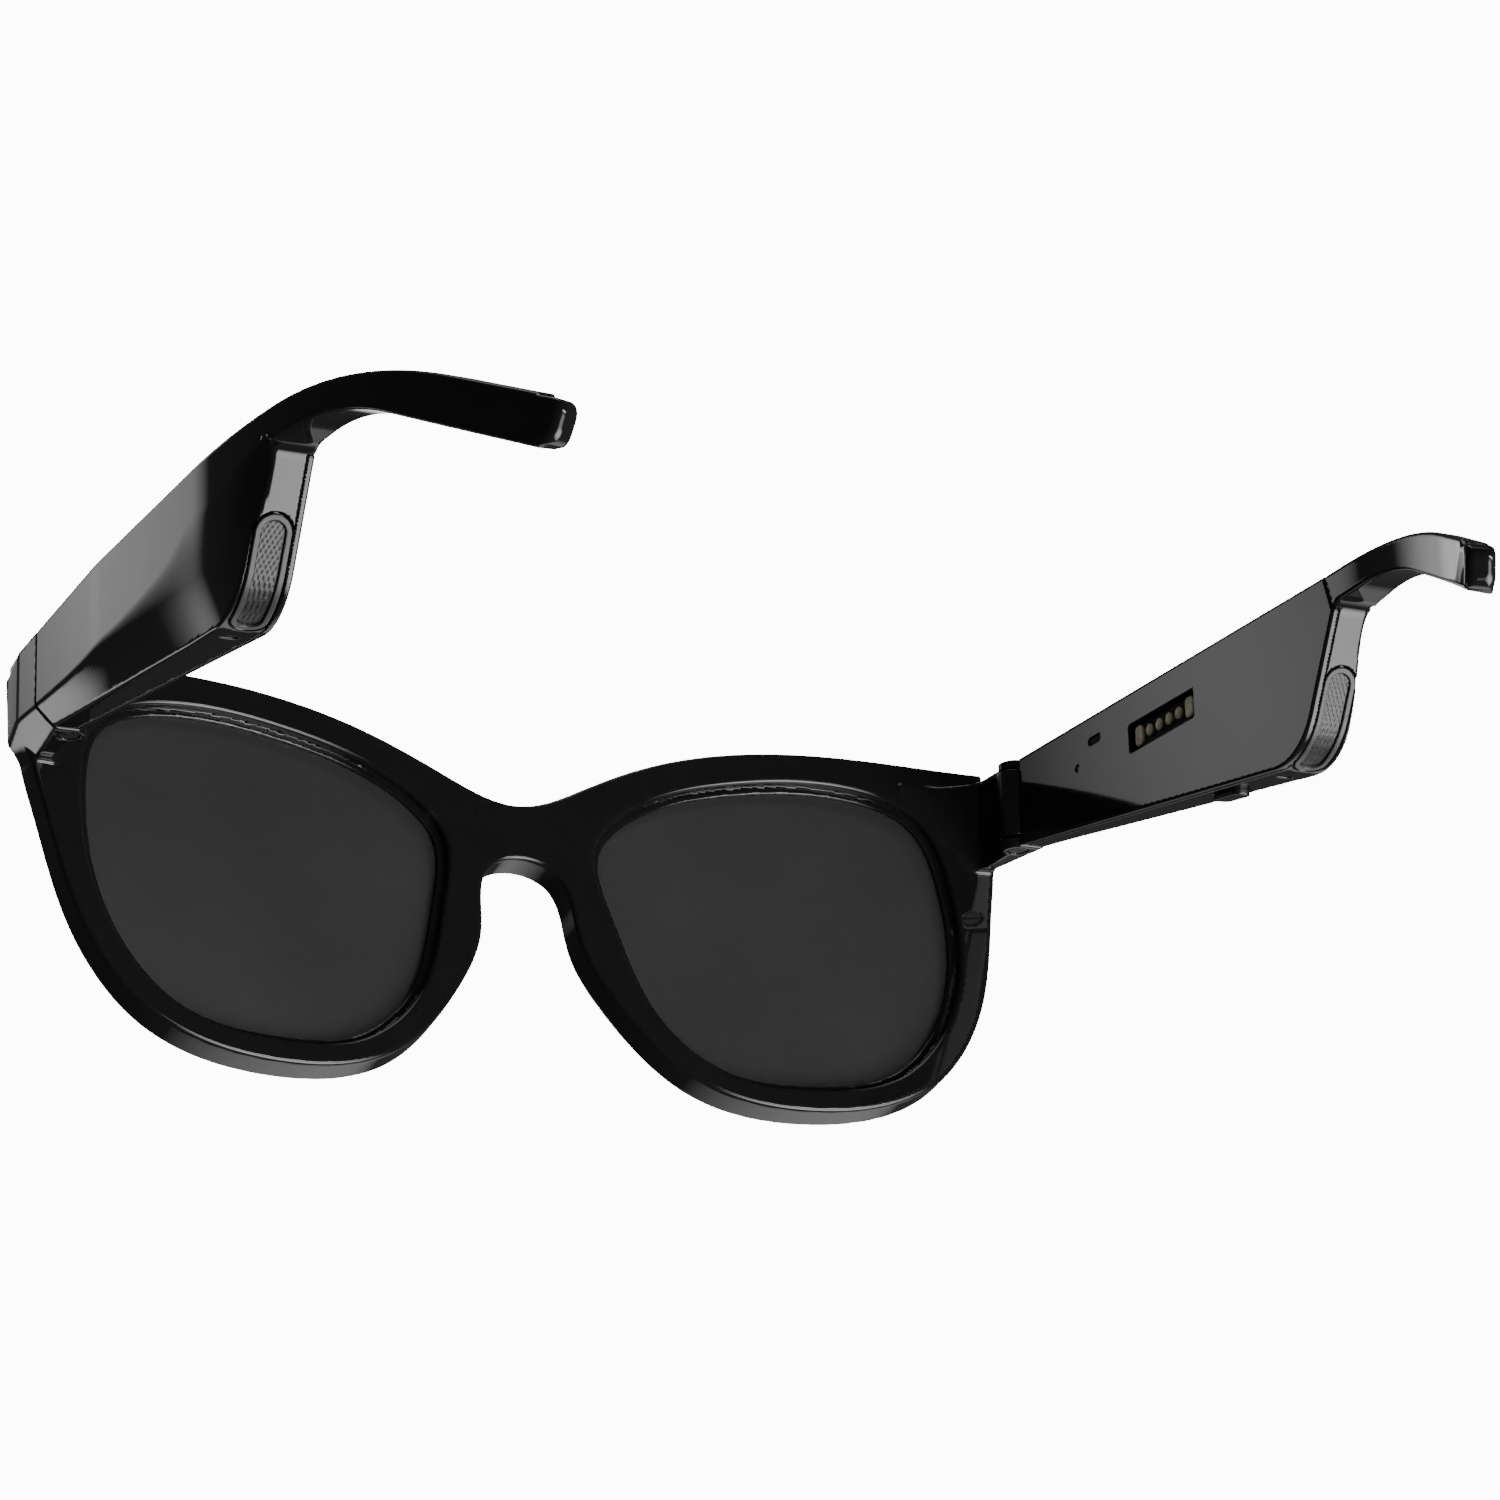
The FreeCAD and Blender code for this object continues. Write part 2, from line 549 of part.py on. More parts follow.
def temple_shell(side, cutter):
    """Outer shell with the ear hook, hollow behind the inner cover."""
    shell = temple_blank().cut(cutter)
    shell = shell.cut(side_prism(COVER_VIEW, INNER_X - 5, INNER_X + COVER_THICK))
    shell = shell.cut(housing_cavity())
    shell = shell.cut(box(LEAF_X[0], LEAF_X[1], 0, LEAF_LENGTH, LEAF_H[0], LEAF_H[1]))
    for screw in leaf_screws():
        shell = shell.cut(screw)
    shell = shell.cut(wrapped_stadium(GRILLE_WIDTH, -1.0, BEZEL_THICK))
    shell = shell.cut(wrapped_stadium(MESH_WIDTH, 0, PORT_DEPTH, 1.4))
    shell = shell.cut(mic_slot(0, under_h(MIC_S) - 2, under_h(MIC_S) + WALL + 1))
    if side < 0:
        shell = shell.cut(key_prism(KEY_FIT, -2.0, WALL + 0.6))
    return shell


def inner_cover(side):
    cover = side_prism(COVER_VIEW, INNER_X, INNER_X + COVER_THICK)
    if side > 0:
        return cover
    cover = cover.cut(recess_box(0, INNER_X - 1, INNER_X + COVER_THICK + 1))
    cover = cover.cut(slot_prism(SENSOR_S, SENSOR_H, SENSOR_LENGTH, SENSOR_HEIGHT, INNER_X - 1, INNER_X + 3))
    return cover.cut(Part.makeCylinder(LIGHT_RADIUS, 5, V(INNER_X - 1, LIGHT_S, LIGHT_H), X_AXIS))


def slot_prism(s, h, length, height, x_from, x_to):
    """A round-ended slot in the inner face, lying along the temple."""
    r = height / 2.05
    corners = [(s - length / 2, h - height / 2, r), (s + length / 2, h - height / 2, r),
               (s + length / 2, h + height / 2, r), (s - length / 2, h + height / 2, r)]
    return side_prism(corners, x_from, x_to)


def recess_box(grow, x_from, x_to):
    return box(x_from, x_to, RECESS_S - RECESS_LENGTH / 2 - grow, RECESS_S + RECESS_LENGTH / 2 + grow,
               RECESS_H - RECESS_HEIGHT / 2 - grow, RECESS_H + RECESS_HEIGHT / 2 + grow)


BOARD_X = CAVITY_X[0] + 0.9
BOARD_THICK = 0.8
BOARD_S = (14.5, 48.5)
FLEX_THICK = 0.2


def contact_places():
    return [RECESS_S + CONTACT_PITCH * (i - 1.5) for i in range(4)]


def contact_pins():
    """Four round-headed signal pins."""
    floor = INNER_X + CONTACT_FLOOR
    pins = []
    for s in contact_places():
        body = Part.makeCylinder(CONTACT_RADIUS, BOARD_X - floor + 0.1, V(floor - 0.1, s, RECESS_H), X_AXIS)
        dome = Part.makeSphere(1.3, V(floor + 0.75, s, RECESS_H))
        dome = dome.common(Part.makeCylinder(CONTACT_RADIUS, 0.7, V(floor - 0.6, s, RECESS_H), X_AXIS))
        pins.append(body.fuse(dome).removeSplitter())
    return pins


def end_contacts():
    """Two taller contacts at the ends of the row."""
    floor = INNER_X + CONTACT_FLOOR
    plates = []
    for way in (-1, 1):
        s = RECESS_S + way * END_CONTACT_OFFSET
        half_w = END_CONTACT_WIDTH / 2
        half_h = END_CONTACT_HEIGHT / 2
        corners = [(s - half_w, RECESS_H - half_h, 0.8), (s + half_w, RECESS_H - half_h, 0.8),
                   (s + half_w, RECESS_H + half_h, 0.8), (s - half_w, RECESS_H + half_h, 0.8)]
        plates.append(side_prism(corners, floor - 0.4, BOARD_X))
    return plates


def contact_block():
    """Moulded block that closes the recess and carries the contacts."""
    floor = INNER_X + CONTACT_FLOOR
    lip = INNER_X + COVER_THICK
    block = recess_box(0, floor, lip).fuse(recess_box(0.8, lip, BOARD_X))
    for piece in contact_pins() + end_contacts():
        block = block.cut(piece)
    return block.removeSplitter()


def key_prism(grow, below, above):
    """The power key's outline from a depth below the underside to a height above it."""
    angle = math.degrees(math.atan(UNDER_SLOPE))
    half_l = KEY_LENGTH / 2 + grow
    half_w = KEY_WIDTH / 2 + grow
    corners = [(GRILLE_X - half_w, -half_l, half_w * 0.8), (GRILLE_X + half_w, -half_l, half_w * 0.8),
               (GRILLE_X + half_w, half_l, half_w * 0.8), (GRILLE_X - half_w, half_l, half_w * 0.8)]
    prism = plan_prism(corners, below, above)
    prism.rotate(V(0, 0, 0), X_AXIS, -angle)
    prism.translate(V(0, KEY_S, under_h(KEY_S)))
    return prism


def stem(radius, below, above):
    angle = math.atan(UNDER_SLOPE)
    up = V(0, math.sin(angle), math.cos(angle))
    foot = V(GRILLE_X, KEY_S, under_h(KEY_S)) + up * below
    return Part.makeCylinder(radius, above - below, foot, up)


SWITCH_GAP = KEY_TRAVEL + 0.05


def build_key():
    """Key cap with a stem, and the switch above it."""
    cap_top = 0.6
    cap = key_prism(0, -KEY_PROUD, cap_top).fuse(stem(KEY_STEM, cap_top - 0.1, WALL)).removeSplitter()
    foot = WALL + SWITCH_GAP
    switch = key_prism(0.3, foot, foot + 1.2)
    return cap, switch


def speaker_driver():
    """Slim oblong driver lying behind the rear face, firing out through the grille."""
    rear = math.radians(REAR_ANGLE)
    out = V(0, math.sin(rear), -math.cos(rear))
    length = 9.0
    depth = 3.0
    rim_width = CAVITY_X[1] - CAVITY_X[0] - 0.6
    width = rim_width - 0.3
    rim_thick = 0.6
    middle_h = -12.4
    face_s = BULGE_S + (BULGE_DEPTH + middle_h) / REAR_SLOPE
    middle = V((CAVITY_X[0] + CAVITY_X[1]) / 2, face_s, middle_h) - out * (PORT_DEPTH + 0.2)
    body = Part.makeBox(width, length, depth, V(-width / 2, -length / 2, -depth))
    rim = Part.makeBox(rim_width, length + 0.6, rim_thick, V(-rim_width / 2, -length / 2 - 0.3, -rim_thick))
    driver = body.fuse(rim).removeSplitter()
    along = V(0, -math.cos(rear), -math.sin(rear))
    driver.Placement = FreeCAD.Placement(middle, FreeCAD.Rotation(X_AXIS, along, out, "XYZ"))
    return driver


def board_with_chips():
    """Main circuit board with its parts, on the cover side of the room."""
    top = BOARD_X + BOARD_THICK
    board = box(BOARD_X, top, BOARD_S[0], BOARD_S[1], -11.6, -2.6)
    chips = [(17.0, 22.0, -10.0, -5.0, 1.2), (24.5, 28.5, -8.5, -4.5, 1.0), (31.0, 37.0, -9.8, -5.0, 1.1)]
    for s_from, s_to, h_from, h_to, tall in chips:
        board = board.fuse(box(top, top + tall, s_from, s_to, h_from, h_to))
    return board.removeSplitter()


BATTERY_S = (50.5, 65.5)
BATTERY_H = (-12.8, -3.2)
PAD_THICK = 0.35
PAD_S = (15.0, 42.0)
PAD_H = (-9.4, -3.0)


def battery():
    """Flat rechargeable cell with rounded corners."""
    corner = 1.0
    play = 0.3
    corners = [(BATTERY_S[0], BATTERY_H[1], corner), (BATTERY_S[1], BATTERY_H[1], corner),
               (BATTERY_S[1], BATTERY_H[0], corner), (BATTERY_S[0], BATTERY_H[0], corner)]
    return side_prism(corners, CAVITY_X[0] + play, CAVITY_X[1] - play)


def touch_pad():
    """Film that senses a finger through the outer wall."""
    return box(CAVITY_X[1] - PAD_THICK, CAVITY_X[1], PAD_S[0], PAD_S[1], PAD_H[0], PAD_H[1])


def flex_lead():
    """Thin ribbon from the hinge leaf on to the near face of the board."""
    return box(BOARD_X - FLEX_THICK, BOARD_X, LEAF_LENGTH, BOARD_S[0] + 2.0, LEAF_MIDDLE - 1.2, LEAF_MIDDLE + 1.2)


def antenna():
    return box(CAVITY_X[0] + 0.6, CAVITY_X[1] - 0.6, 40.0, 62.0, -WALL - 0.4, -WALL)


def core_wire():
    """Stiffening strip inside the ear hook."""
    blank = side_prism(hook_core_view(), INNER_X - 30, OUTER_X + 5)
    mid = HOOK_THICK / 2
    strip = [
        (INNER_X + mid - 0.6, INNER_BEND_S - 22.0, 0),
        (INNER_X + mid - 0.6, INNER_BEND_S, 90.0),
        (INNER_X + mid - 0.6 - HOOK_REACH * math.sin(INWARD), INNER_BEND_S + HOOK_REACH * math.cos(INWARD), 0),
        (INNER_X + mid + 0.6 - HOOK_REACH * math.sin(INWARD), INNER_BEND_S + HOOK_REACH * math.cos(INWARD), 0),
        (INNER_X + mid + 0.6, INNER_BEND_S, 90.0),
        (INNER_X + mid + 0.6, INNER_BEND_S - 22.0, 0),
    ]
    return blank.common(plan_prism(strip, -60, 20))


def hook_core_view():
    """Side view of the core: the middle of the hook, stopping short of its end."""
    start = BEND_S - 12.0
    stop = HOOK_LENGTH - 6.0
    end = (BEND_S + stop * math.cos(DOWN), -stop * math.sin(DOWN))
    low = 1.3
    high = 2.7
    shift = (math.sin(DOWN), math.cos(DOWN))
    return [
        (start, -low, 0),
        (BEND_S, -low, BEND_RADIUS - 30),
        (end[0] - shift[0] * (low + 1), end[1] - shift[1] * (low + 1), 0),
        (end[0] - shift[0] * (high + 1), end[1] - shift[1] * (high + 1), 0),
        (BEND_S, -high, BEND_RADIUS - 30),
        (start, -high, 0),
    ]


def build_temple(name, side, cutter):
    shell = temple_shell(side, cutter)
    core = core_wire()
    shell = shell.cut(core)
    pieces = {
        "temple_shell": shell,
        "temple_cover": inner_cover(side),
        "hook_core": core,
        "hinge_leaf": hinge_leaf(),
        "hinge_leaf_screws": Part.makeCompound(leaf_screws()),
        "grille_bezel": wrapped_stadium(GRILLE_WIDTH, 0, BEZEL_THICK).cut(wrapped_stadium(MESH_WIDTH, -1, 2, 0.95)),
        "grille_mesh": wrapped_stadium(MESH_WIDTH, MESH_RECESS, MESH_RECESS + MESH_THICK, 0.95),
        "speaker_driver": speaker_driver(),
        "battery": battery(),
        "main_board": board_with_chips(),
        "touch_pad": touch_pad(),
        "antenna": antenna(),
        "flex_lead": flex_lead(),
        "microphone": mic_slot(0.3, under_h(MIC_S) + WALL + 0.9, under_h(MIC_S) + WALL + 0.9 + MIC_BODY),
    }
    for piece, shape in pieces.items():
        export("%s_%s" % (piece, name), place(shape, side))


def build_right_extras():
    cap, switch = build_key()
    side = SIDES["right"]
    export("contact_block", place(contact_block(), side))
    export("contact_pins", place(Part.makeCompound(contact_pins()), side))
    export("end_contacts", place(Part.makeCompound(end_contacts()), side))
    window = slot_prism(SENSOR_S, SENSOR_H, SENSOR_LENGTH, SENSOR_HEIGHT, INNER_X + 0.15, INNER_X + COVER_THICK)
    export("sensor_window", place(window, side))
    guide = Part.makeCylinder(LIGHT_RADIUS, COVER_THICK - 0.2, V(INNER_X + 0.2, LIGHT_S, LIGHT_H), X_AXIS)
    export("light_guide", place(guide, side))
    export("power_key", place(cap, side))
    export("key_switch", place(switch, side))


CUTTER = chamfer_cutter()
FRONT = build_front(CUTTER)
for SIDE_NAME, SIDE in SIDES.items():
    build_temple(SIDE_NAME, SIDE, CUTTER)
build_right_extras()
print("front box", FRONT.BoundBox)
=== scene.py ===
# %% [markdown]
# Smart glasses in gloss black plastic: a front with two dark lenses and two thick folding temples.
# The machine-drawn model comes in first as a fixed frame.  Everything made here is fitted to it,
# so that the hinges and the key still work, and each new piece rides on one of its bodies.

# %% Load the frame
import math

import bpy
import numpy as np
from mathutils import Matrix, Vector


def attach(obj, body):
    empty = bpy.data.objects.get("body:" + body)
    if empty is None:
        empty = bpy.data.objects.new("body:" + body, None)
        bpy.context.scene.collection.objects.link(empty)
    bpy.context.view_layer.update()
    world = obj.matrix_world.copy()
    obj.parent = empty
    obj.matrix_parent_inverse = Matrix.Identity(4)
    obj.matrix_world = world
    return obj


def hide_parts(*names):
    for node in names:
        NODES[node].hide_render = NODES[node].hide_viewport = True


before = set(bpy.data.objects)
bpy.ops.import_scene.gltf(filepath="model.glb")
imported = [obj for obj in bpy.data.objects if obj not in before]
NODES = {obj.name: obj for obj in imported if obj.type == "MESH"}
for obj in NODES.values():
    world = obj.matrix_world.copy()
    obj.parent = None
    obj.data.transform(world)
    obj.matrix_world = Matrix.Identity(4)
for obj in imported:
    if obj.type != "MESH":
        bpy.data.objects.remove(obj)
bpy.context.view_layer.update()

# %% [markdown]
# The glasses are seen from behind and from below, with the wearer's left temple nearest.  A long
# lens keeps the two temples almost parallel.  The camera is made from its place, the way it looks
# and a small roll, because three facts are easier to trust than nine matrix entries.

# %% Camera
CAMERA_PLACE = Vector((0.25852, 0.51751, -0.28866))
CAMERA_AZIMUTH = math.radians(150.172)
CAMERA_RISE = math.radians(30.176)
CAMERA_ROLL = math.radians(-8.792)
CAMERA_ANGLE = math.radians(17.18)

forward = Vector((-math.sin(CAMERA_AZIMUTH) * math.cos(CAMERA_RISE),
                  math.cos(CAMERA_AZIMUTH) * math.cos(CAMERA_RISE),
                  math.sin(CAMERA_RISE)))
level = forward.cross(Vector((0, 0, 1))).normalized()
right = math.cos(CAMERA_ROLL) * level + math.sin(CAMERA_ROLL) * level.cross(forward)
upward = right.cross(forward)
camera = bpy.data.objects.new("camera", bpy.data.cameras.new("camera"))
camera.data.lens = camera.data.sensor_width / 2 / math.tan(CAMERA_ANGLE / 2)
camera.data.clip_start = 0.01
turn = Matrix((right, upward, -forward)).transposed().to_4x4()
camera.matrix_world = Matrix.Translation(CAMERA_PLACE) @ turn
bpy.context.scene.collection.objects.link(camera)
bpy.context.scene.camera = camera
print("camera looks along", [round(v, 3) for v in forward])

# %% [markdown]
# Moulded plastic has no sharp edge, and a polished black one shows each edge as a thin bright line.
# Bevel modifiers give up on the many short edges of such a shape, so the pieces are described
# another way: as a signed distance, negative inside, from which a skin is drawn.  Where two shapes
# are cut against each other the distance can be rounded, which is a true fillet at any angle.

# %% Ways of joining distances
def fillet_cut(a, b, radius):
    """What is inside both a and b, with the edge between them rounded."""
    corner = np.hypot(np.maximum(a + radius, 0), np.maximum(b + radius, 0))
    return np.minimum(-radius, np.maximum(a, b)) + corner


def moulded_join(a, b, radius):
    """What is inside a or b, with a smooth hollow blend between them."""
    blend = np.maximum(radius - np.abs(a - b), 0) / radius
    return np.minimum(a, b) - blend * blend * radius / 4


def between(value, low, high):
    """Distance to the layer from low to high."""
    return np.maximum(low - value, value - high)


# %% [markdown]
# Most of a temple is two drawings: its side view and its plan.  A drawing is a closed line through
# corners, each with its own radius.  The corners are turned into short straight runs, and the
# distance to the nearest run, with a sign for inside, is all that the skin needs.

# %% Outlines
def rounded(corners, finest=0.3):
    """Points along a closed outline through (a, b, radius) corners."""
    points = []
    for i, (a, b, radius) in enumerate(corners):
        here = np.array((a, b))
        back = np.array(corners[i - 1][:2]) - here
        ahead = np.array(corners[(i + 1) % len(corners)][:2]) - here
        back = back / np.linalg.norm(back)
        ahead = ahead / np.linalg.norm(ahead)
        if radius <= 0:
            points.append(here)
            continue
        half = math.acos(np.clip(back @ ahead, -1, 1)) / 2
        middle = (back + ahead) / np.linalg.norm(back + ahead)
        centre = here + middle * radius / math.sin(half)
        start = here + back * radius / math.tan(half) - centre
        end = here + ahead * radius / math.tan(half) - centre
        sweep = math.pi - 2 * half
        steps = max(3, int(radius * sweep / finest))
        for step in range(steps + 1):
            share = step / steps
            arm = start * math.sin((1 - share) * sweep) + end * math.sin(share * sweep)
            points.append(centre + arm / math.sin(sweep))
    return np.array(points)


def outline_gap(points, a, b):
    """Signed distance from each (a, b) to a closed outline, negative inside it."""
    a, b = np.broadcast_arrays(np.asarray(a, float), np.asarray(b, float))
    shape = a.shape
    a, b = a.ravel(), b.ravel()
    nearest = np.full(a.size, 1e12)
    inside = np.zeros(a.size, bool)
    for (a0, b0), (a1, b1) in zip(points, np.roll(points, -1, axis=0)):
        da, db = a1 - a0, b1 - b0
        length2 = da * da + db * db
        if length2 < 1e-12:
            continue
        pa, pb = a - a0, b - b0
        share = np.clip((pa * da + pb * db) / length2, 0, 1)
        nearest = np.minimum(nearest, (pa - share * da) ** 2 + (pb - share * db) ** 2)
        if db:
            inside ^= ((b0 > b) != (b1 > b)) & (pa < pb * da / db)
    return (np.sqrt(nearest) * np.where(inside, -1, 1)).reshape(shape)


class Chart:
    """A smooth function of two lengths, worked out once on a fine grid and read between its nodes."""

    def __init__(self, function, low, high, step=0.25):
        self.low, self.step = low, step
        axes = [np.arange(a - 2 * step, b + 3 * step, step) for a, b in zip(low, high)]
        self.values = function(axes[0][:, None], axes[1][None, :])

    def __call__(self, a, b):
        a, b = np.broadcast_arrays(a, b)
        cells, weights = [], []
        for value, low, count in zip((a, b), self.low, self.values.shape):
            at = np.clip((value - low) / self.step + 2, 1, count - 2.001)
            cell = np.floor(at).astype(int)
            t = at - cell
            cells.append(cell)
            weights.append(((-t + 2 * t**2 - t**3) / 2, (2 - 5 * t**2 + 3 * t**3) / 2,
                            (t + 4 * t**2 - 3 * t**3) / 2, (t**3 - t**2) / 2))
        total = 0
        for i in range(4):
            for j in range(4):
                node = self.values[cells[0] + i - 1, cells[1] + j - 1]
                total = total + weights[0][i] * weights[1][j] * node
        return total


def drawing(points, low, high, step=0.25):
    """The distance to an outline, as a chart."""
    return Chart(lambda a, b: outline_gap(points, a, b), low, high, step)


def smooth_curve(points, closed, per_run=40, slope_start=None, slope_end=None):
    """A cubic spline through points, timed by the distance between them."""
    p = np.array(points, float)
    if closed:
        p = np.vstack([p, p[:1]])
    knots = np.concatenate([[0], np.cumsum(np.linalg.norm(np.diff(p, axis=0), axis=1))])
    gap = np.diff(knots)
    n = len(p)
    lhs, rhs = np.zeros((n, n)), np.zeros((n, p.shape[1]))
    for i in range(1, n - 1):
        lhs[i, i - 1:i + 2] = gap[i], 2 * (gap[i - 1] + gap[i]), gap[i - 1]
        rhs[i] = 3 * (gap[i] * (p[i] - p[i - 1]) / gap[i - 1] + gap[i - 1] * (p[i + 1] - p[i]) / gap[i])
    if closed:
        lhs[0, 0], lhs[0, -1] = 1, -1
        lhs[-1, 1], lhs[-1, 0], lhs[-1, -1], lhs[-1, -2] = gap[-1], 2 * gap[-1], 2 * gap[0], gap[0]
        rhs[-1] = 3 * (gap[-1] * (p[1] - p[0]) / gap[0] + gap[0] * (p[-1] - p[-2]) / gap[-1])
    else:
        lhs[0, 0] = lhs[-1, -1] = 1
        chords = ((p[1] - p[0]) / gap[0], (p[-1] - p[-2]) / gap[-1])
        for row, slope, chord in ((0, slope_start, chords[0]), (-1, slope_end, chords[1])):
            rhs[row] = chord if slope is None else np.array(slope) / np.linalg.norm(slope)
    slopes = np.linalg.solve(lhs, rhs)
    runs = []
    for i in range(n - 1):
        t = np.linspace(0, 1, per_run, endpoint=False)[:, None]
        runs.append((2 * t**3 - 3 * t**2 + 1) * p[i] + (t**3 - 2 * t**2 + t) * gap[i] * slopes[i]
                    + (3 * t**2 - 2 * t**3) * p[i + 1] + (t**3 - t**2) * gap[i] * slopes[i + 1])
    return np.vstack(runs + ([] if closed else [p[-1:]]))


# %% [markdown]
# The skin is found on a grid of small cells.  Each cell that the surface passes through gets one
# point, at the middle of the places where it crosses the cell's edges, and the points of
# neighbouring cells make squares.  The direction in which the distance grows is the true normal, so
# the polish stays even over the small squares.

# %% Skin a distance
FACE_UP = -math.radians(13.5)
HINGE = (68.0, 19.55, 48.3)


def field_at(distance, points, mirrored):
    x, y, z = points.T
    return distance(np.abs(x) if mirrored else x, y, z)


def slope_at(distance, points, mirrored, reach=0.03):
    """The direction in which the distance grows, and how fast."""
    slope = []
    for axis in range(3):
        shift = np.zeros(3)
        shift[axis] = reach
        slope.append(field_at(distance, points + shift, mirrored)
                     - field_at(distance, points - shift, mirrored))
    return np.stack(slope, axis=1) / (2 * reach)


def net(value):
    """One point in each crossed cell of the grid, in indices, and the squares between them."""
    shape = np.array(value.shape) - 1
    totals = np.zeros((4, shape.prod()))
    found = []
    for axis in range(3):
        u, v = (axis + 1) % 3, (axis + 2) % 3
        low = np.take(value, range(shape[axis]), axis)
        high = np.take(value, range(1, shape[axis] + 1), axis)
        at = np.argwhere((low < 0) != (high < 0))
        first, last = low[tuple(at.T)], high[tuple(at.T)]
        point = at.astype(float)
        point[:, axis] += first / (first - last)
        around = []
        for du, dv in ((1, 1), (0, 1), (0, 0), (1, 0)):
            cell = at.copy()
            cell[:, u] -= du
            cell[:, v] -= dv
            inside = np.all((cell >= 0) & (cell < shape), axis=1)
            flat = np.ravel_multi_index(np.where(inside[:, None], cell, 0).T, shape)
            for part in range(3):
                totals[part] += np.bincount(flat[inside], point[inside, part], shape.prod())
            totals[3] += np.bincount(flat[inside], minlength=shape.prod())
            around.append(np.where(inside, flat, -1))
        around = np.array(around).T
        whole = (around >= 0).all(axis=1)
        rising = first < 0
        around[~rising] = around[~rising][:, ::-1]
        found.append(around[whole])
    used = np.flatnonzero(totals[3])
    number = np.full(shape.prod(), -1)
    number[used] = np.arange(len(used))
    return (totals[:3, used] / totals[3, used]).T, number[np.vstack(found)]


def to_glasses(points, side):
    """From a temple's own frame (x, s, h) to the place on the glasses; side is 1 or -1."""
    x, s, h = points.T
    y = s * math.cos(FACE_UP) - h * math.sin(FACE_UP)
    z = s * math.sin(FACE_UP) + h * math.cos(FACE_UP)
    return np.stack([x * side, y, z], axis=1)


def skin(name, distance, low, high, step, body, replaced, material, side=0, mirrored=False):
    """Mesh of distance(x, y, z) < 0 in a box, in millimetres, riding on a body.

    With a side the box is in the temple's own frame; mirrored pieces are drawn on one half only.
    """
    axes = [np.arange(a, b + step, step) for a, b in zip(low, high)]
    value = distance(axes[0][:, None, None], axes[1][None, :, None], axes[2][None, None, :])
    value = np.array(np.broadcast_to(value, [len(a) for a in axes]), dtype=np.float64)
    if mirrored:
        value = np.concatenate([value[:0:-1], value])
        axes[0] = np.concatenate([-axes[0][:0:-1], axes[0]])
    at, squares = net(value)
    points = np.array([a[0] for a in axes]) + at * step
    for _ in range(3):
        slope = slope_at(distance, points, mirrored)
        size2 = np.maximum((slope**2).sum(axis=1), 0.3)
        move = slope * (field_at(distance, points, mirrored) / size2)[:, None]
        points = points - np.clip(move, -step / 3, step / 3)
    slope = slope_at(distance, points, mirrored)
    if side:
        origin = np.array([0, HINGE[1], HINGE[2]])
        points = to_glasses(points, side) + origin
        slope = to_glasses(slope, side)
        if side < 0:
            squares = squares[:, ::-1]
    normals = slope / np.maximum(np.linalg.norm(slope, axis=1), 1e-9)[:, None]
    mesh = bpy.data.meshes.new(name)
    mesh.vertices.add(len(points))
    mesh.vertices.foreach_set("co", (points / 1000).ravel())
    mesh.loops.add(squares.size)
    mesh.loops.foreach_set("vertex_index", squares.ravel().astype(np.int32))
    mesh.polygons.add(len(squares))
    mesh.polygons.foreach_set("loop_start", np.arange(0, squares.size, 4, dtype=np.int32))
    mesh.update(calc_edges=True)
    mesh.validate()
    mesh.shade_smooth()
    mesh.normals_split_custom_set_from_vertices(normals.tolist())
    mesh.materials.append(material)
    piece = bpy.data.objects.new(name, mesh)
    bpy.context.scene.collection.objects.link(piece)
    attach(piece, body)
    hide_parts(*replaced)
    print(f"{name}: {len(squares)} squares")
    return piece


# %% [markdown]
# Finishes are worked out with ordinary sums.  A small class wraps a shader socket, so that
# 0.05 + 0.1 * noise adds the maths nodes by itself, and one method adds any other node.

# %% Shader sums
class Wire:
    """One socket of a material's node tree, with arithmetic."""

    def __init__(self, tree, socket):
        self.tree = tree
        self.socket = socket

    def node(self, kind, settings=(), **sockets):
        """Add a node: its settings first, then the values or links of its sockets."""
        made = self.tree.nodes.new(kind)
        for key, setting in dict(settings).items():
            if key == "stops":
                ramp = made.color_ramp
                for stop, (place, colour) in enumerate(setting):
                    element = ramp.elements[stop] if stop < 2 else ramp.elements.new(place)
                    element.position = place
                    element.color = colour
            else:
                setattr(made, key, setting)
        for key, value in sockets.items():
            spoken = key.replace("_", " ")
            socket = made.inputs[int(key[2:])] if key.startswith("in") and key[2:].isdigit() \
                else made.inputs[spoken]
            if isinstance(value, Wire):
                self.tree.links.new(value.socket, socket)
            else:
                socket.default_value = value
        return made

    def out(self, kind, settings=(), output=0, **sockets):
        """The same, giving one of its outputs."""
        return Wire(self.tree, self.node(kind, settings, **sockets).outputs[output])

    def sum(self, operation, first, second):
        return self.out("ShaderNodeMath", {"operation": operation}, in0=first, in1=second)

    def __add__(self, other):
        return self.sum("ADD", self, other)

    def __radd__(self, other):
        return self.sum("ADD", other, self)

    def __sub__(self, other):
        return self.sum("SUBTRACT", self, other)

    def __rsub__(self, other):
        return self.sum("SUBTRACT", other, self)

    def __mul__(self, other):
        return self.sum("MULTIPLY", self, other)

    def __rmul__(self, other):
        return self.sum("MULTIPLY", other, self)

    def __gt__(self, other):
        return self.sum("GREATER_THAN", self, other)

    def tint(self, dark, light):
        """A colour between two, by this value."""
        return self.out("ShaderNodeMix", {"data_type": "RGBA", "clamp_factor": True}, output=2,
                        in0=self, in6=(*dark, 1), in7=(*light, 1))


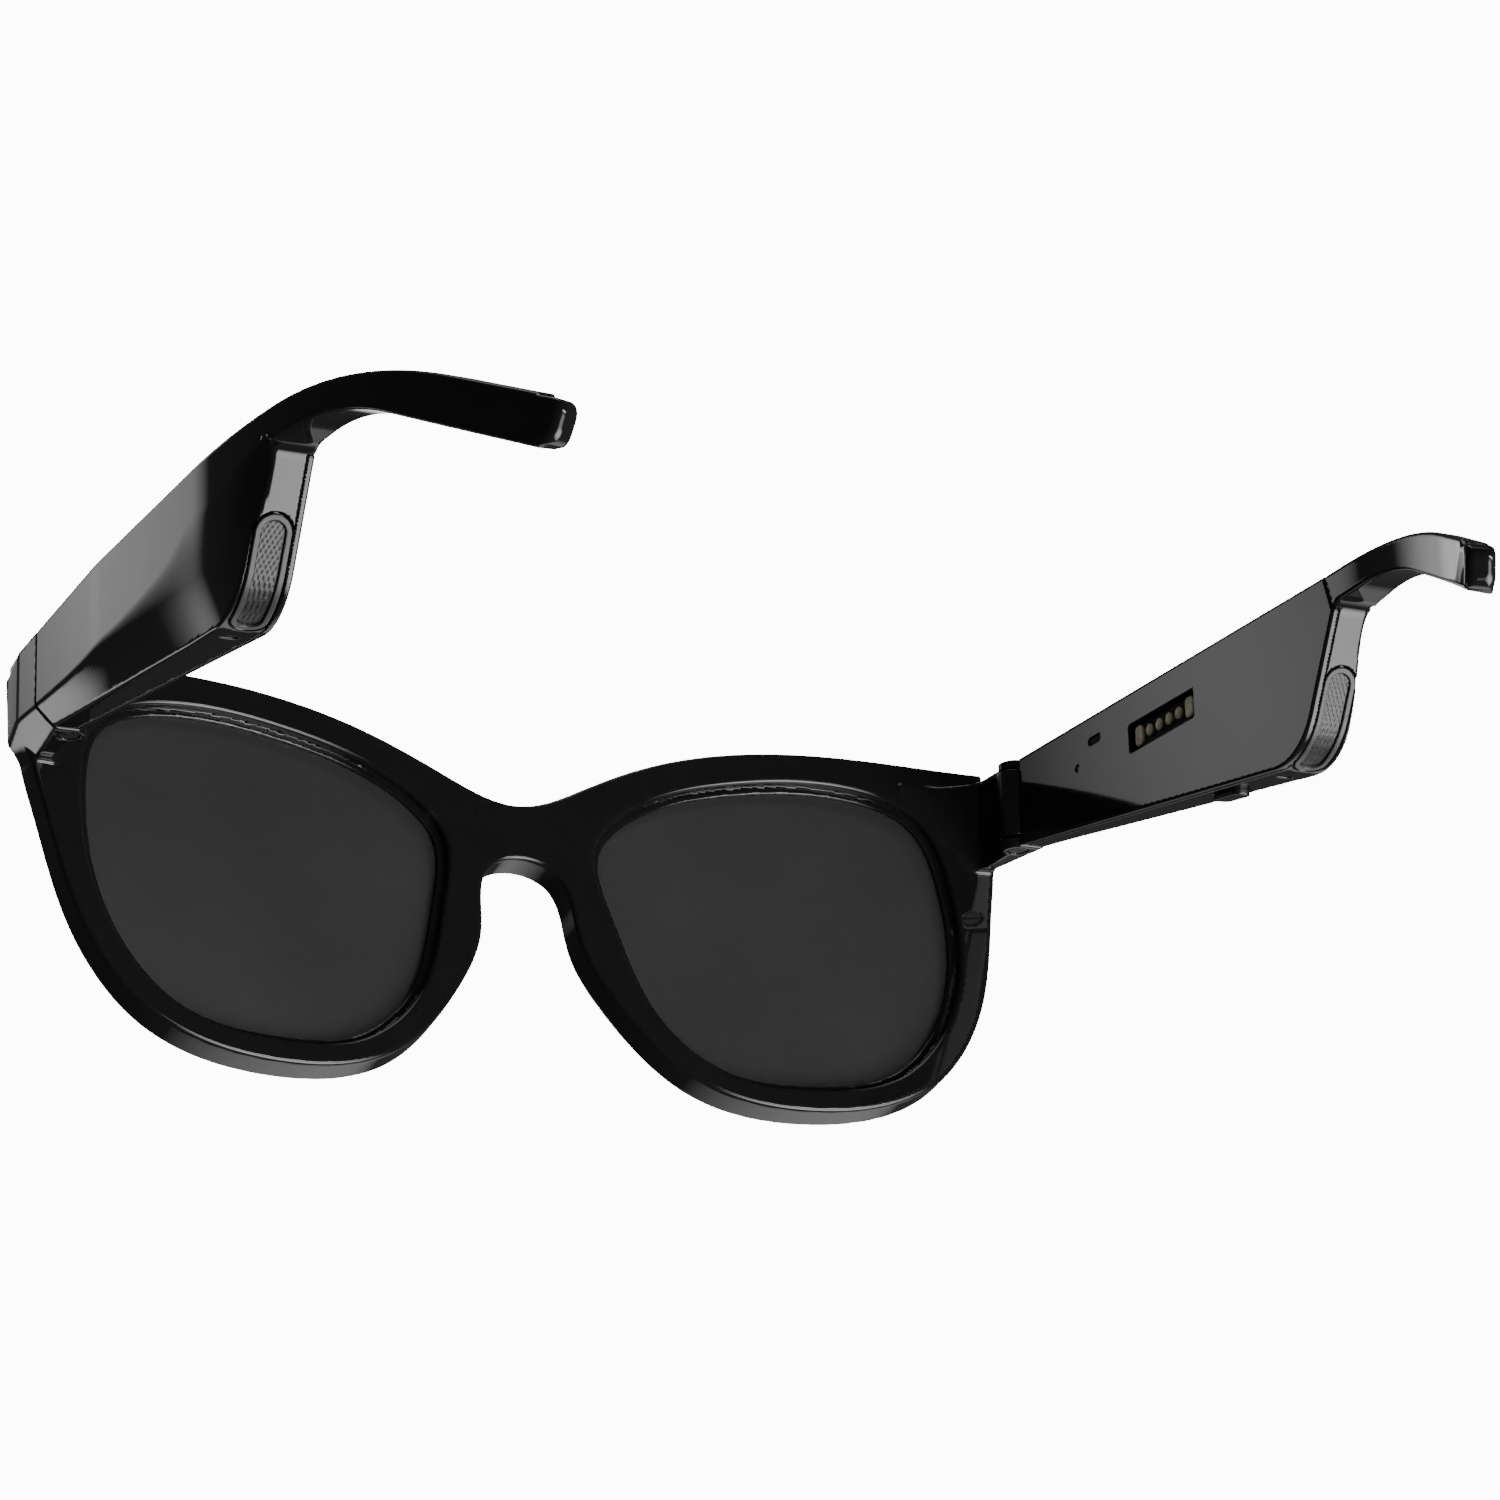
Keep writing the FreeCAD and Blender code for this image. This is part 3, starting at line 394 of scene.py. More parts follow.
class Finish:
    """A material with its shader, its place on the object in millimetres, and noises."""

    def __init__(self, name, **constants):
        self.material = bpy.data.materials.new(name)
        self.material.use_nodes = True
        tree = self.material.node_tree
        self.shader = tree.nodes["Principled BSDF"]
        for key, value in constants.items():
            self.set(key, value)
        base = Wire(tree, None)
        self.base = base
        self.place = Wire(tree, base.node("ShaderNodeTexCoord").outputs["Object"])

    def set(self, key, value):
        socket = self.shader.inputs[key.replace("_", " ")]
        if isinstance(value, Wire):
            self.base.tree.links.new(value.socket, socket)
        else:
            socket.default_value = value
        return self

    def noise(self, grain, detail=2.0, roughness=0.5, stretch=(1, 1, 1)):
        """Noise whose blots are about grain millimetres across."""
        place = self.place.out("ShaderNodeMapping", Vector=self.place, Scale=stretch)
        return place.out("ShaderNodeTexNoise", Vector=place, Scale=1000 / grain, Detail=detail,
                         Roughness=roughness)

    def dents(self, height, depth, strength=1.0):
        """Relief of the given depth in millimetres."""
        self.set("Normal", self.base.out("ShaderNodeBump", Height=height, Distance=depth / 1000,
                                         Strength=strength))
        return self.material


# %% [markdown]
# The frame and temples are injection-moulded plastic, polished until it reflects like lacquer.
# What separates it from a perfect mirror is small: a slow waviness left by the mould, a haze of
# very fine wipe marks, and colour that is almost but not quite black.

# %% Plastics
def polished_black(name, colour, haze):
    """Gloss moulding: near-black, with a slow mould wave and fine wipe marks."""
    finish = Finish(name, IOR=1.5, Specular_IOR_Level=0.5, Coat_Roughness=0.02, Coat_IOR=1.5)
    wave = finish.noise(14.0, detail=1.0)
    wipe = finish.noise(0.5, detail=3.0, stretch=(0.25, 1.0, 1.6))
    cloud = finish.noise(6.0)
    finish.set("Base_Color", cloud.tint([c * 0.8 for c in colour], [c * 1.25 for c in colour]))
    finish.set("Roughness", haze + 0.05 * wipe * cloud)
    finish.set("Coat_Weight", 0.15 + 0.1 * cloud)
    return finish.dents(wave + 0.012 * wipe, 0.010)


def satin_plastic(name, colour, roughness, grain=0.12):
    """Finely textured moulding for small parts."""
    finish = Finish(name, IOR=1.5)
    texture = finish.noise(grain, detail=2.0)
    cloud = finish.noise(3.0)
    finish.set("Base_Color", cloud.tint([c * 0.75 for c in colour], [c * 1.3 for c in colour]))
    finish.set("Roughness", roughness - 0.06 + 0.12 * texture)
    return finish.dents(texture, 0.006)


GLOSS_BLACK = polished_black("gloss_black", (0.0115, 0.0115, 0.0122), 0.040)
COVER_BLACK = polished_black("gloss_black_cover", (0.0120, 0.0120, 0.0126), 0.050)
BEZEL_BLACK = satin_plastic("bezel_plastic", (0.060, 0.060, 0.061), 0.36)
KEY_BLACK = satin_plastic("key_black", (0.012, 0.012, 0.012), 0.22, 0.2)
CONTACT_BLACK = satin_plastic("contact_moulding", (0.002, 0.002, 0.002), 0.62)
print("plastics:", GLOSS_BLACK.name, COVER_BLACK.name, BEZEL_BLACK.name, KEY_BLACK.name, CONTACT_BLACK.name)


# %% [markdown]
# The metals are small.  The contacts are gold-plated, pale where the plating has been polished by
# the charger's pins.  The hinge and screws are turned and stamped steel, with fine tool marks.

# %% Metals
def metal(name, colour, roughness, marks=0.15, stretch=(1, 1, 8)):
    """Plated or bare metal with fine marks in one direction."""
    finish = Finish(name, Metallic=1.0)
    scratch = finish.noise(marks, detail=3.0, stretch=stretch)
    cloud = finish.noise(1.2)
    finish.set("Base_Color", cloud.tint([c * 0.8 for c in colour], colour))
    finish.set("Roughness", roughness + 0.14 * scratch - 0.05 * cloud)
    return finish.dents(scratch, 0.003)


GOLD = metal("contact_gold", (1.0, 0.96, 0.74), 0.55)
HINGE_STEEL = metal("hinge_metal", (0.10, 0.10, 0.105), 0.26)
SCREW_STEEL = metal("screw_steel", (0.09, 0.09, 0.095), 0.42)
CORE_STEEL = metal("core_steel", (0.55, 0.55, 0.56), 0.35)
BRASS = metal("antenna_brass", (0.80, 0.58, 0.28), 0.30)
CAN_STEEL = metal("mic_can", (0.62, 0.62, 0.60), 0.32)
FOIL = metal("cell_foil", (0.66, 0.67, 0.69), 0.38, 0.8, (1, 2, 2))
print("metals:", GOLD.name, HINGE_STEEL.name, SCREW_STEEL.name)


# %% [markdown]
# The lenses are dark and nearly neutral.  Seen from behind they read as an even dark grey, a shade
# lighter than the frame: a tinted plate that lets a little light through and reflects a little.

# %% Lens, grille and inner finishes
def tinted_plate():
    finish = Finish("lens_tint", IOR=1.5, Coat_Roughness=0.03)
    haze = finish.noise(25.0, detail=1.0)
    mark = finish.noise(0.8, detail=3.0)
    finish.set("Base_Color", haze.tint((0.048, 0.048, 0.0485), (0.055, 0.055, 0.0555)))
    finish.set("Roughness", 0.085 + 0.03 * mark)
    finish.set("Alpha", 0.985 - 0.02 * haze)
    return finish.dents(haze, 0.004)


def woven_steel():
    finish = Finish("mesh_steel", Metallic=0.85)
    speck = finish.noise(0.25, detail=2.0)
    finish.set("Base_Color", speck.tint((0.02, 0.02, 0.02), (0.12, 0.12, 0.12)))
    finish.set("Roughness", 0.34 + 0.2 * speck)
    return finish.dents(speck, 0.02)


def circuit_board():
    finish = Finish("board_green", IOR=1.5)
    patch = finish.noise(2.2, detail=3.0)
    track = finish.noise(0.5, detail=1.0, stretch=(1, 0.2, 1))
    finish.set("Base_Color", (track * patch > 0.28).tint((0.006, 0.045, 0.018), (0.015, 0.09, 0.035)))
    finish.set("Roughness", 0.32 + 0.2 * patch)
    return finish.dents(track, 0.03)


LENS_TINT = tinted_plate()
MESH_STEEL = woven_steel()
BOARD = circuit_board()
DRIVER = satin_plastic("driver_black", (0.015, 0.015, 0.016), 0.45, 0.4)
FILM = satin_plastic("pad_film", (0.35, 0.17, 0.035), 0.30, 0.6)
FLEX = satin_plastic("flex_film", (0.42, 0.20, 0.03), 0.28, 0.5)
SWITCH = satin_plastic("switch_black", (0.02, 0.02, 0.02), 0.40)
GUIDE = satin_plastic("guide_plastic", (0.05, 0.05, 0.05), 0.20)
SENSOR = satin_plastic("sensor_glass", (0.002, 0.002, 0.002), 0.62)
print("other finishes:", LENS_TINT.name, MESH_STEEL.name, BOARD.name)

# %% [markdown]
# The pieces inside the temples and the small screws already have their right shape, so they keep
# their meshes and only take a finish.

# %% Dress the nodes that stay
KEPT = {
    "hinge_screw": SCREW_STEEL, "hinge_leaf_screws": SCREW_STEEL, "hook_core": CORE_STEEL,
    "speaker_driver": DRIVER, "battery": FOIL, "main_board": BOARD, "touch_pad": FILM,
    "antenna": BRASS, "flex_lead": FLEX, "microphone": CAN_STEEL, "key_switch": SWITCH,
    "light_guide": GUIDE, "sensor_window": SENSOR,
}
dressed = 0
for node, thing in NODES.items():
    stem = node.replace("_left", "").replace("_right", "")
    if stem in KEPT:
        thing.data.materials.clear()
        thing.data.materials.append(KEPT[stem])
        dressed += 1
print("dressed", dressed, "nodes")

# %% [markdown]
# A temple is drawn in its own frame: s runs back along the straight top edge from the hinge axis,
# h runs up along that axis, and x is the same as on the glasses.  These are its drawings: the side
# view with the deep speaker housing and the ear hook, and the plan that turns the hook inwards.

# %% Temple drawings
INNER_X = 67.2
THICKNESS = 7.4
OUTER_X = INNER_X + THICKNESS
COVER_THICK = 0.9
TEMPLE_S = 2.45
FRONT_DEPTH = 12.4
BULGE_S = 72.1
BULGE_DEPTH = 22.0
BULGE_RADIUS = 9.0
REAR_SLOPE = math.tan(math.radians(61.3))
BEND_S = 99.0
HOOK_LENGTH = 32.4
HOOK_ROOT = 4.1
HOOK_END = 5.8
NOTCH_RADIUS = 2.5
DOWN = math.radians(25.8)
UNDER = DOWN + math.radians(1.0)
INWARD = math.radians(28.5)
HOOK_THICK = 5.0
UNDER_SLOPE = (BULGE_DEPTH - FRONT_DEPTH) / (BULGE_S - TEMPLE_S)

NOTCH_S = BULGE_S + (BULGE_DEPTH - HOOK_ROOT) / REAR_SLOPE
TIP_TOP = (BEND_S + HOOK_LENGTH * math.cos(DOWN), -HOOK_LENGTH * math.sin(DOWN))
LONG_HOOK = HOOK_LENGTH + 4.0
LONG_TOP = (BEND_S + LONG_HOOK * math.cos(DOWN), -LONG_HOOK * math.sin(DOWN))
TIP_UNDER = (LONG_TOP[0] - HOOK_END * math.sin(DOWN), LONG_TOP[1] - HOOK_END * math.cos(DOWN))
HOOK_UNDER = (TIP_UNDER[0] - (-HOOK_ROOT - TIP_UNDER[1]) / math.tan(UNDER), -HOOK_ROOT)
SIDE_LINE = rounded([
    (TEMPLE_S, 0, 0), (BEND_S, 0, 70.0), (*LONG_TOP, 0), (*TIP_UNDER, 0),
    (*HOOK_UNDER, (HOOK_UNDER[0] - NOTCH_S - 2 * NOTCH_RADIUS) / math.tan(UNDER / 2)),
    (NOTCH_S, -HOOK_ROOT, NOTCH_RADIUS), (BULGE_S, -BULGE_DEPTH, BULGE_RADIUS),
    (TEMPLE_S, -FRONT_DEPTH, 0)])
COVER_CORNERS = [
    (TEMPLE_S, 0, 0), (NOTCH_S - 2.0, 0, 0), (NOTCH_S - 0.8 / REAR_SLOPE, -HOOK_ROOT - 0.8, 0),
    (BULGE_S, -BULGE_DEPTH, BULGE_RADIUS), (TEMPLE_S, -FRONT_DEPTH, 0)]
SIDE_VIEW = drawing(SIDE_LINE, (-4.0, -26.0), (132.0, 3.0))
COVER_VIEW = drawing(rounded(COVER_CORNERS), (-4.0, -26.0), (132.0, 3.0))

REACH = 34.0
INNER_BEND = BULGE_S + 32.4
END_X = INNER_X - REACH * math.sin(INWARD)
END_S = INNER_BEND + REACH * math.cos(INWARD)
PLAN = drawing(rounded([
    (INNER_X, TEMPLE_S, 0), (INNER_X, INNER_BEND, 100.0), (END_X, END_S, 0),
    (END_X + HOOK_THICK, END_S, 0), (OUTER_X, BULGE_S + 18.4, 140.0), (OUTER_X, 28.0, 100.0),
    (OUTER_X - 1.25, TEMPLE_S, 0)]), (44.0, -4.0), (78.0, 132.0))

TIP_SLOPE = math.atan(math.tan(DOWN) * math.cos(INWARD))
TIP_X = INNER_X - (TIP_TOP[0] - INNER_BEND) * math.tan(INWARD) + HOOK_THICK / 2 / math.cos(INWARD)
CAP_LENGTH = 12.0
along = np.array((math.cos(TIP_SLOPE), -math.sin(TIP_SLOPE)))
across = np.array((-math.sin(TIP_SLOPE), -math.cos(TIP_SLOPE)))
cap_top, cap_low = -0.3 * across, (HOOK_END + 0.3) * across
CAP_VIEW = drawing(rounded([
    (*(cap_top - CAP_LENGTH * along), 0), (*cap_top, 2.2), (*cap_low, 2.6),
    (*(cap_low - CAP_LENGTH * along), 0)]), (-12.0, -12.0), (8.0, 8.0))


def hook_end(x, s, h):
    """Distance outside the rounded end of the hook, which is square to the hook itself."""
    onward = (s - TIP_TOP[0]) * math.cos(INWARD) - (x - TIP_X) * math.sin(INWARD)
    inside = CAP_VIEW(np.clip(onward, -8.0, 6.0), np.clip(h - TIP_TOP[1], -10.0, 6.0))
    return np.where(onward < -4.0, onward, inside)


print("side view from", len(SIDE_LINE), "points")


# %% [markdown]
# Along the lower outside of each temple runs a twisted facet.  It looks down at the hinge and turns
# outwards over the speaker housing.  It is drawn as rungs of a ladder between two smooth rails; at
# any place of the side view one rung passes, and tells how far out the facet is there.

# %% The twisted facet
RUNGS = np.array([
    ((OUTER_X - 5.0, -34.0, -8.8), (INNER_X - 1.0, -34.0, -FRONT_DEPTH - 0.7)),
    ((OUTER_X - 3.6, -20.0, -9.2), (INNER_X + 0.6, -20.0, -FRONT_DEPTH - 0.5)),
    ((OUTER_X - 1.3, 1.0, -9.8), (INNER_X + 3.5, 2.4, -FRONT_DEPTH - 0.1)),
    ((OUTER_X, 30.0, -11.2), (INNER_X + 4.8, 31.0, -16.3)),
    ((OUTER_X, 46.0, -11.3), (INNER_X + 5.5, 48.0, -18.7)),
    ((OUTER_X, 56.0, -10.9), (INNER_X + 6.0, 61.0, -20.5)),
    ((OUTER_X, 63.5, -9.9), (INNER_X + 6.3, 70.0, -21.3)),
    ((OUTER_X, 69.0, -7.9), (INNER_X + 6.1, 74.6, -17.5)),
    ((OUTER_X - 0.3, 74.3, -5.0), (INNER_X + 5.3, 78.6, -10.0)),
    ((OUTER_X - 1.3, 82.0, -3.6), (INNER_X + 3.6, 84.0, -4.6))])
FACET_FADE_S = 82.0
TOP_RAIL = smooth_curve(RUNGS[:, 0], False, 30)
LOW_RAIL = smooth_curve(RUNGS[:, 1], False, 30)


def facet_x(s, h):
    """How far out the facet is at (s, h)."""
    s, h = np.broadcast_arrays(s, h)
    best = np.full(s.shape, 1e9)
    found = np.full(s.shape, OUTER_X + 6.0)
    before = None
    for (x0, s0, h0), (x1, s1, h1) in zip(TOP_RAIL, LOW_RAIL):
        ds, dh = s1 - s0, h1 - h0
        size = math.hypot(ds, dh)
        across = ((s - s0) * dh - (h - h0) * ds) / size
        along = ((s - s0) * ds + (h - h0) * dh) / size**2
        x = x0 + np.clip(along, -1.5, 2.0) * (x1 - x0)
        if before is not None:
            share = before[0] / np.where(np.abs(before[0] - across) < 1e-9, 1, before[0] - across)
            hit = (before[0] <= 0) != (across <= 0)
            near = hit & (np.abs(along - 0.5) < best)
            found = np.where(near, before[1] + share * (x - before[1]), found)
            best = np.where(near, np.abs(along - 0.5), best)
        before = (across, x)
    return found


FACET = Chart(facet_x, (-26.0, -26.0), (132.0, 4.0), 0.5)


def facet_gap(x, s, h):
    """Distance outside the facet, which fades away behind the speaker housing."""
    here = FACET(s, h)
    by_s = (FACET(s + 0.4, h) - FACET(s - 0.4, h)) / 0.8
    by_h = (FACET(s, h + 0.4) - FACET(s, h - 0.4)) / 0.8
    gap = (x - here) / np.sqrt(1 + np.clip(by_s, -3, 3)**2 + np.clip(by_h, -3, 3)**2)
    return gap - np.maximum(s - FACET_FADE_S, 0)


print("facet ladder with", len(TOP_RAIL), "rungs")


# %% [markdown]
# The speaker fires through a grille that wraps round the lower rear corner of the housing: a
# round-ended strip, bent over the corner.  Depth under the surface is the side view's own distance,
# so the strip needs only its half width and its two ends.

# %% Grille, microphone port and key openings
GRILLE_X = 70.5
GRILLE_TOP_H = -10.9
GRILLE_FRONT_S = 67.2
KEY_S = 50.8
MIC_S = 63.2
REAR = math.atan(REAR_SLOPE)


def strip_gap(x, s, h, half, shrink=0.0):
    """Distance outside the grille's round-ended outline, seen square to the surface."""
    top_s = BULGE_S + (BULGE_DEPTH + GRILLE_TOP_H) / REAR_SLOPE
    reach = half + shrink
    along = -(s - top_s) * math.cos(REAR) - (h - GRILLE_TOP_H) * math.sin(REAR) - reach
    upper = np.hypot(x - GRILLE_X, np.minimum(along, 0))
    lower = np.hypot(x - GRILLE_X, np.minimum(s - GRILLE_FRONT_S - reach, 0))
    return np.maximum(upper, lower) - half


def under_h(s):
    return -FRONT_DEPTH - (s - TEMPLE_S) * UNDER_SLOPE


def slot_gap(x, s, middle_x, middle_s, half_x, half_s, radius):
    """Distance outside a rounded rectangle in plan."""
    a = np.abs(x - middle_x) - half_x + radius
    b = np.abs(s - middle_s) - half_s + radius
    return np.hypot(np.maximum(a, 0), np.maximum(b, 0)) + np.minimum(np.maximum(a, b), 0) - radius


def key_frame(s, h):
    """Place along and above the sloping underside, from the middle of the key."""
    tilt = math.atan(UNDER_SLOPE)
    ds, dh = s - KEY_S, h - under_h(KEY_S)
    return ds * math.cos(tilt) - dh * math.sin(tilt), ds * math.sin(tilt) + dh * math.cos(tilt)


# %% [markdown]
# The shell is the whole outside of the temple with the ear hook in one moulding.  The flat inner
# cover is set into it, and the seam between them shows as a fine dark line because both edges are
# slightly rounded.

# %% Temple shells and covers
BARREL = (2.4, -10.8, -1.4)
CAVITY_X = (INNER_X + COVER_THICK, OUTER_X - 2.0)
WALL = 1.2
EDGE = 0.55
LEAF_X = (68.6, 69.8)
LEAF_H = (-9.1, -3.1)
LEAF_LENGTH = 12.0
LEAF_PLAY = 0.05
MIC_HALF = (1.1, 0.6)
CONTACT_S, CONTACT_H = 40.0, -6.4
RECESS_HALF = (8.1, 1.9)
SENSOR_S, SENSOR_H = 23.0, -3.7
LIGHT_S, LIGHT_H = 18.2, -6.3
LIGHT_RADIUS = 0.45


def shell_distance(side):
    def distance(x, s, h):
        outline = SIDE_VIEW(s, h)
        body = fillet_cut(outline, PLAN(x, s), EDGE)
        body = fillet_cut(body, facet_gap(x, s, h), 0.35)
        body = fillet_cut(body, hook_end(x, s, h), 1.3)
        cover = COVER_VIEW(s, h)
        body = fillet_cut(body, -np.maximum(cover, x - CAVITY_X[0]), 0.28)
        room = np.maximum(cover + 2.0, between(x, CAVITY_X[0] - 1, CAVITY_X[1]))
        room = np.maximum(room, 6.0 - s)
        room = np.maximum(room, facet_gap(x, s, h) + WALL)
        body = np.maximum(body, -room)
        pocket = np.maximum(strip_gap(x, s, h, 2.4), -outline - 0.9)
        body = fillet_cut(body, -pocket, 0.22)
        port = np.maximum(strip_gap(x, s, h, 1.45, 1.4), -outline - 2.6)
        body = np.maximum(body, -port)
        mic = slot_gap(x, s, GRILLE_X, MIC_S, *MIC_HALF, 0.59)
        mic = np.maximum(mic, np.abs(h - under_h(MIC_S)) - 2.6)
        body = fillet_cut(body, -mic, 0.15)
        leaf = np.maximum(between(x, *LEAF_X), np.maximum(s - LEAF_LENGTH, between(h, *LEAF_H)))
        body = np.maximum(body, LEAF_PLAY - leaf)
        if side < 0:
            along, above = key_frame(s, h)
            hole = np.maximum(slot_gap(x, along, GRILLE_X, 0, 1.38, 3.08, 1.1), above - 2.6)
            body = fillet_cut(body, -hole, 0.12)
        return body
    return distance


def cover_distance(side):
    def distance(x, s, h):
        edge = COVER_VIEW(s, h) + 0.03
        plate = np.maximum(fillet_cut(edge, INNER_X - x, 0.45), x - CAVITY_X[0] + 0.02)
        if side < 0:
            recess = slot_gap(s, h, CONTACT_S, CONTACT_H, *RECESS_HALF, 0.35)
            plate = fillet_cut(plate, -recess, 0.12)
            plate = fillet_cut(plate, -slot_gap(s, h, SENSOR_S, SENSOR_H, 1.5, 0.5, 0.49), 0.1)
            plate = fillet_cut(plate, LIGHT_RADIUS - np.hypot(s - LIGHT_S, h - LIGHT_H), 0.08)
        return plate
    return distance


SIDES = {"left": 1, "right": -1}
for name, side in SIDES.items():
    body = "temple_" + name
    skin("shell_" + name, shell_distance(side), (46.0, 1.8, -22.8), (75.2, 131.0, 0.8), 0.36,
         body, ["temple_shell_" + name], GLOSS_BLACK, side)
    skin("cover_" + name, cover_distance(side), (66.9, 2.0, -22.5), (68.4, 84.0, 0.5), 0.22,
         body, ["temple_cover_" + name], COVER_BLACK, side)


# %% [markdown]
# The bezel is a ring of satin plastic with a fine gap round it, and the mesh sits a little below it.
# The mesh is a thin sheet with a regular pattern of small dimples in its shape.

# %% Grille bezels and meshes
def bezel_distance(x, s, h):
    outline = SIDE_VIEW(s, h)
    ring = np.maximum(strip_gap(x, s, h, 2.2, 0.2), -strip_gap(x, s, h, 1.47, 0.93))
    return fillet_cut(ring, between(-outline, 0.02, 0.88), 0.14)


def mesh_distance(x, s, h):
    outline = SIDE_VIEW(s, h)
    pitch = 2 * math.pi / 0.62
    weave = np.cos((x - GRILLE_X) * pitch) * np.cos((h * 0.88 - s * 0.48) * pitch)
    sheet = between(-outline, 0.36, 0.68) - 0.035 * weave
    return np.maximum(strip_gap(x, s, h, 1.44, 0.96), sheet)


for name, side in SIDES.items():
    body = "temple_" + name
    low, high = (67.8, 66.6, -22.6), (73.2, 80.0, -9.6)
    skin("bezel_" + name, bezel_distance, low, high, 0.13,
         body, ["grille_bezel_" + name], BEZEL_BLACK, side)
    skin("mesh_" + name, mesh_distance, low, high, 0.12,
         body, ["grille_mesh_" + name], MESH_STEEL, side)


# %% [markdown]
# Each hinge is a turned barrel with a flat leaf that is held in the temple.

# %% Hinge leaves
def leaf_distance(x, s, h):
    barrel = fillet_cut(np.hypot(x - HINGE[0], s) - BARREL[0], between(h, BARREL[1], BARREL[2]), 0.2)
    leaf = np.maximum(between(x, *LEAF_X), np.maximum(between(s, 0, LEAF_LENGTH), between(h, *LEAF_H)))
    whole = np.minimum(barrel, leaf)
    whole = np.maximum(whole, 0.74 - np.hypot(x - HINGE[0], s))
    for middle in (7.6, 10.4):
        whole = np.maximum(whole, 0.7 - np.hypot(s - middle, h + 6.1))
    return whole


for name, side in SIDES.items():
    skin("hinge_" + name, leaf_distance, (65.3, -2.7, -11.1), (70.7, 12.4, -1.1), 0.16,
         "temple_" + name, ["hinge_leaf_" + name], HINGE_STEEL, side)


# %% [markdown]
# On the wearer's right temple a dark block closes a recess, with four domed contacts between two
# tall ones.  The key stands a little out of the underside.

# %% Contacts and key
FLOOR_X = INNER_X + 0.8
BLOCK_BACK = 69.0
STEP_X = 68.1
PIN_PITCH = 2.45
PIN_S = [CONTACT_S + PIN_PITCH * (i - 1.5) for i in range(4)]
END_OFFSET = 6.3


def pins_distance(x, s, h):
    whole = 1e3
    for middle in PIN_S:
        across = np.hypot(s - middle, h - CONTACT_H)
        dome = np.hypot(across, x - FLOOR_X - 1.5) - 2.05
        shaft = np.maximum(across - 0.85, between(x, FLOOR_X - 0.55, BLOCK_BACK))
        whole = np.minimum(whole, np.maximum(shaft, np.where(x < FLOOR_X + 0.1, dome, -1)))
    return whole


def ends_distance(x, s, h):
    whole = 1e3
    for way in (-1, 1):
        plate = slot_gap(s, h, CONTACT_S + END_OFFSET * way, CONTACT_H, 1.05, 1.45, 0.8)
        whole = np.minimum(whole, fillet_cut(plate, between(x, FLOOR_X - 0.4, BLOCK_BACK), 0.25))
    return whole


def block_distance(x, s, h):
    plate = slot_gap(s, h, CONTACT_S, CONTACT_H, 8.08, 1.88, 0.3)
    plate = np.maximum(plate, between(x, FLOOR_X, STEP_X))
    root = slot_gap(s, h, CONTACT_S, CONTACT_H, 8.9, 2.7, 0.3)
    root = np.maximum(root, between(x, STEP_X, BLOCK_BACK))
    whole = np.minimum(plate, root)
    for piece in (pins_distance, ends_distance):
        whole = np.maximum(whole, 0.02 - piece(x, s, h))
    return whole


def key_distance(x, s, h):
    along, above = key_frame(s, h)
    cap = fillet_cut(slot_gap(x, along, GRILLE_X, 0, 1.3, 3.0, 1.04), between(above, -0.8, 0.6), 0.25)
    stem = np.maximum(np.hypot(x - GRILLE_X, along) - 1.1, between(above, 0.5, 2.0))
    return np.minimum(cap, stem)


low, high = (66.8, 30.6, -9.4), (69.2, 49.4, -3.4)
skin("contact_block_visible", block_distance, low, high, 0.14, "temple_right",
     ["contact_block"], CONTACT_BLACK, -1)
skin("contact_pins_visible", pins_distance, low, high, 0.10, "temple_right",
     ["contact_pins"], GOLD, -1)
skin("end_contacts_visible", ends_distance, low, high, 0.12, "temple_right",
     ["end_contacts"], GOLD, -1)
skin("key_cap", key_distance, (68.8, 47.0, -21.0), (72.2, 54.6, -16.2), 0.12, "key",
     ["power_key"], KEY_BLACK, -1)

# %% [markdown]
# The front is a curved sheet, cut to the outline of the glasses, with the lens openings.  Its rear
# face has a shallow step round each lens, and behind each outer corner a block with lugs for the
# hinge screw.  All of it is one moulding, so the blocks are blended into the sheet.

# %% Front drawings
LENS_W, LENS_H = 51.8, 47.6
LENS_X, LENS_Z = 36.9, 27.4
RIM = 4.5
BASE_RADIUS = 460.0
AHEAD, BEHIND = 2.6, 2.0
LIP_WIDTH, LIP_THICK = 1.1, 0.6
LENS_SHAPE = [(1.0, 0.36), (0.88, 0.79), (0.45, 0.99), (-0.15, 0.96), (-0.72, 0.75), (-1.0, 0.42),
              (-0.96, 0.0), (-0.76, -0.62), (-0.42, -0.94), (0.05, -1.01), (0.55, -0.9), (0.87, -0.52)]
TOP_SHAPE = [(-0.885, 0.69), (-0.52, 0.87), (-0.03, 0.99), (0.5, 1.0), (1.1, 0.94)]
LOW_SHAPE = [(1.086, 0.45), (1.036, 0.166), (0.911, -0.364), (0.63, -0.79), (0.036, -0.965),
             (-0.5, -0.84), (-0.865, -0.42), (-0.985, -0.12)]


def scaled(shape, grow):
    return [(LENS_X + u * (LENS_W / 2 + grow), LENS_Z + v * (LENS_H / 2 + grow)) for u, v in shape]


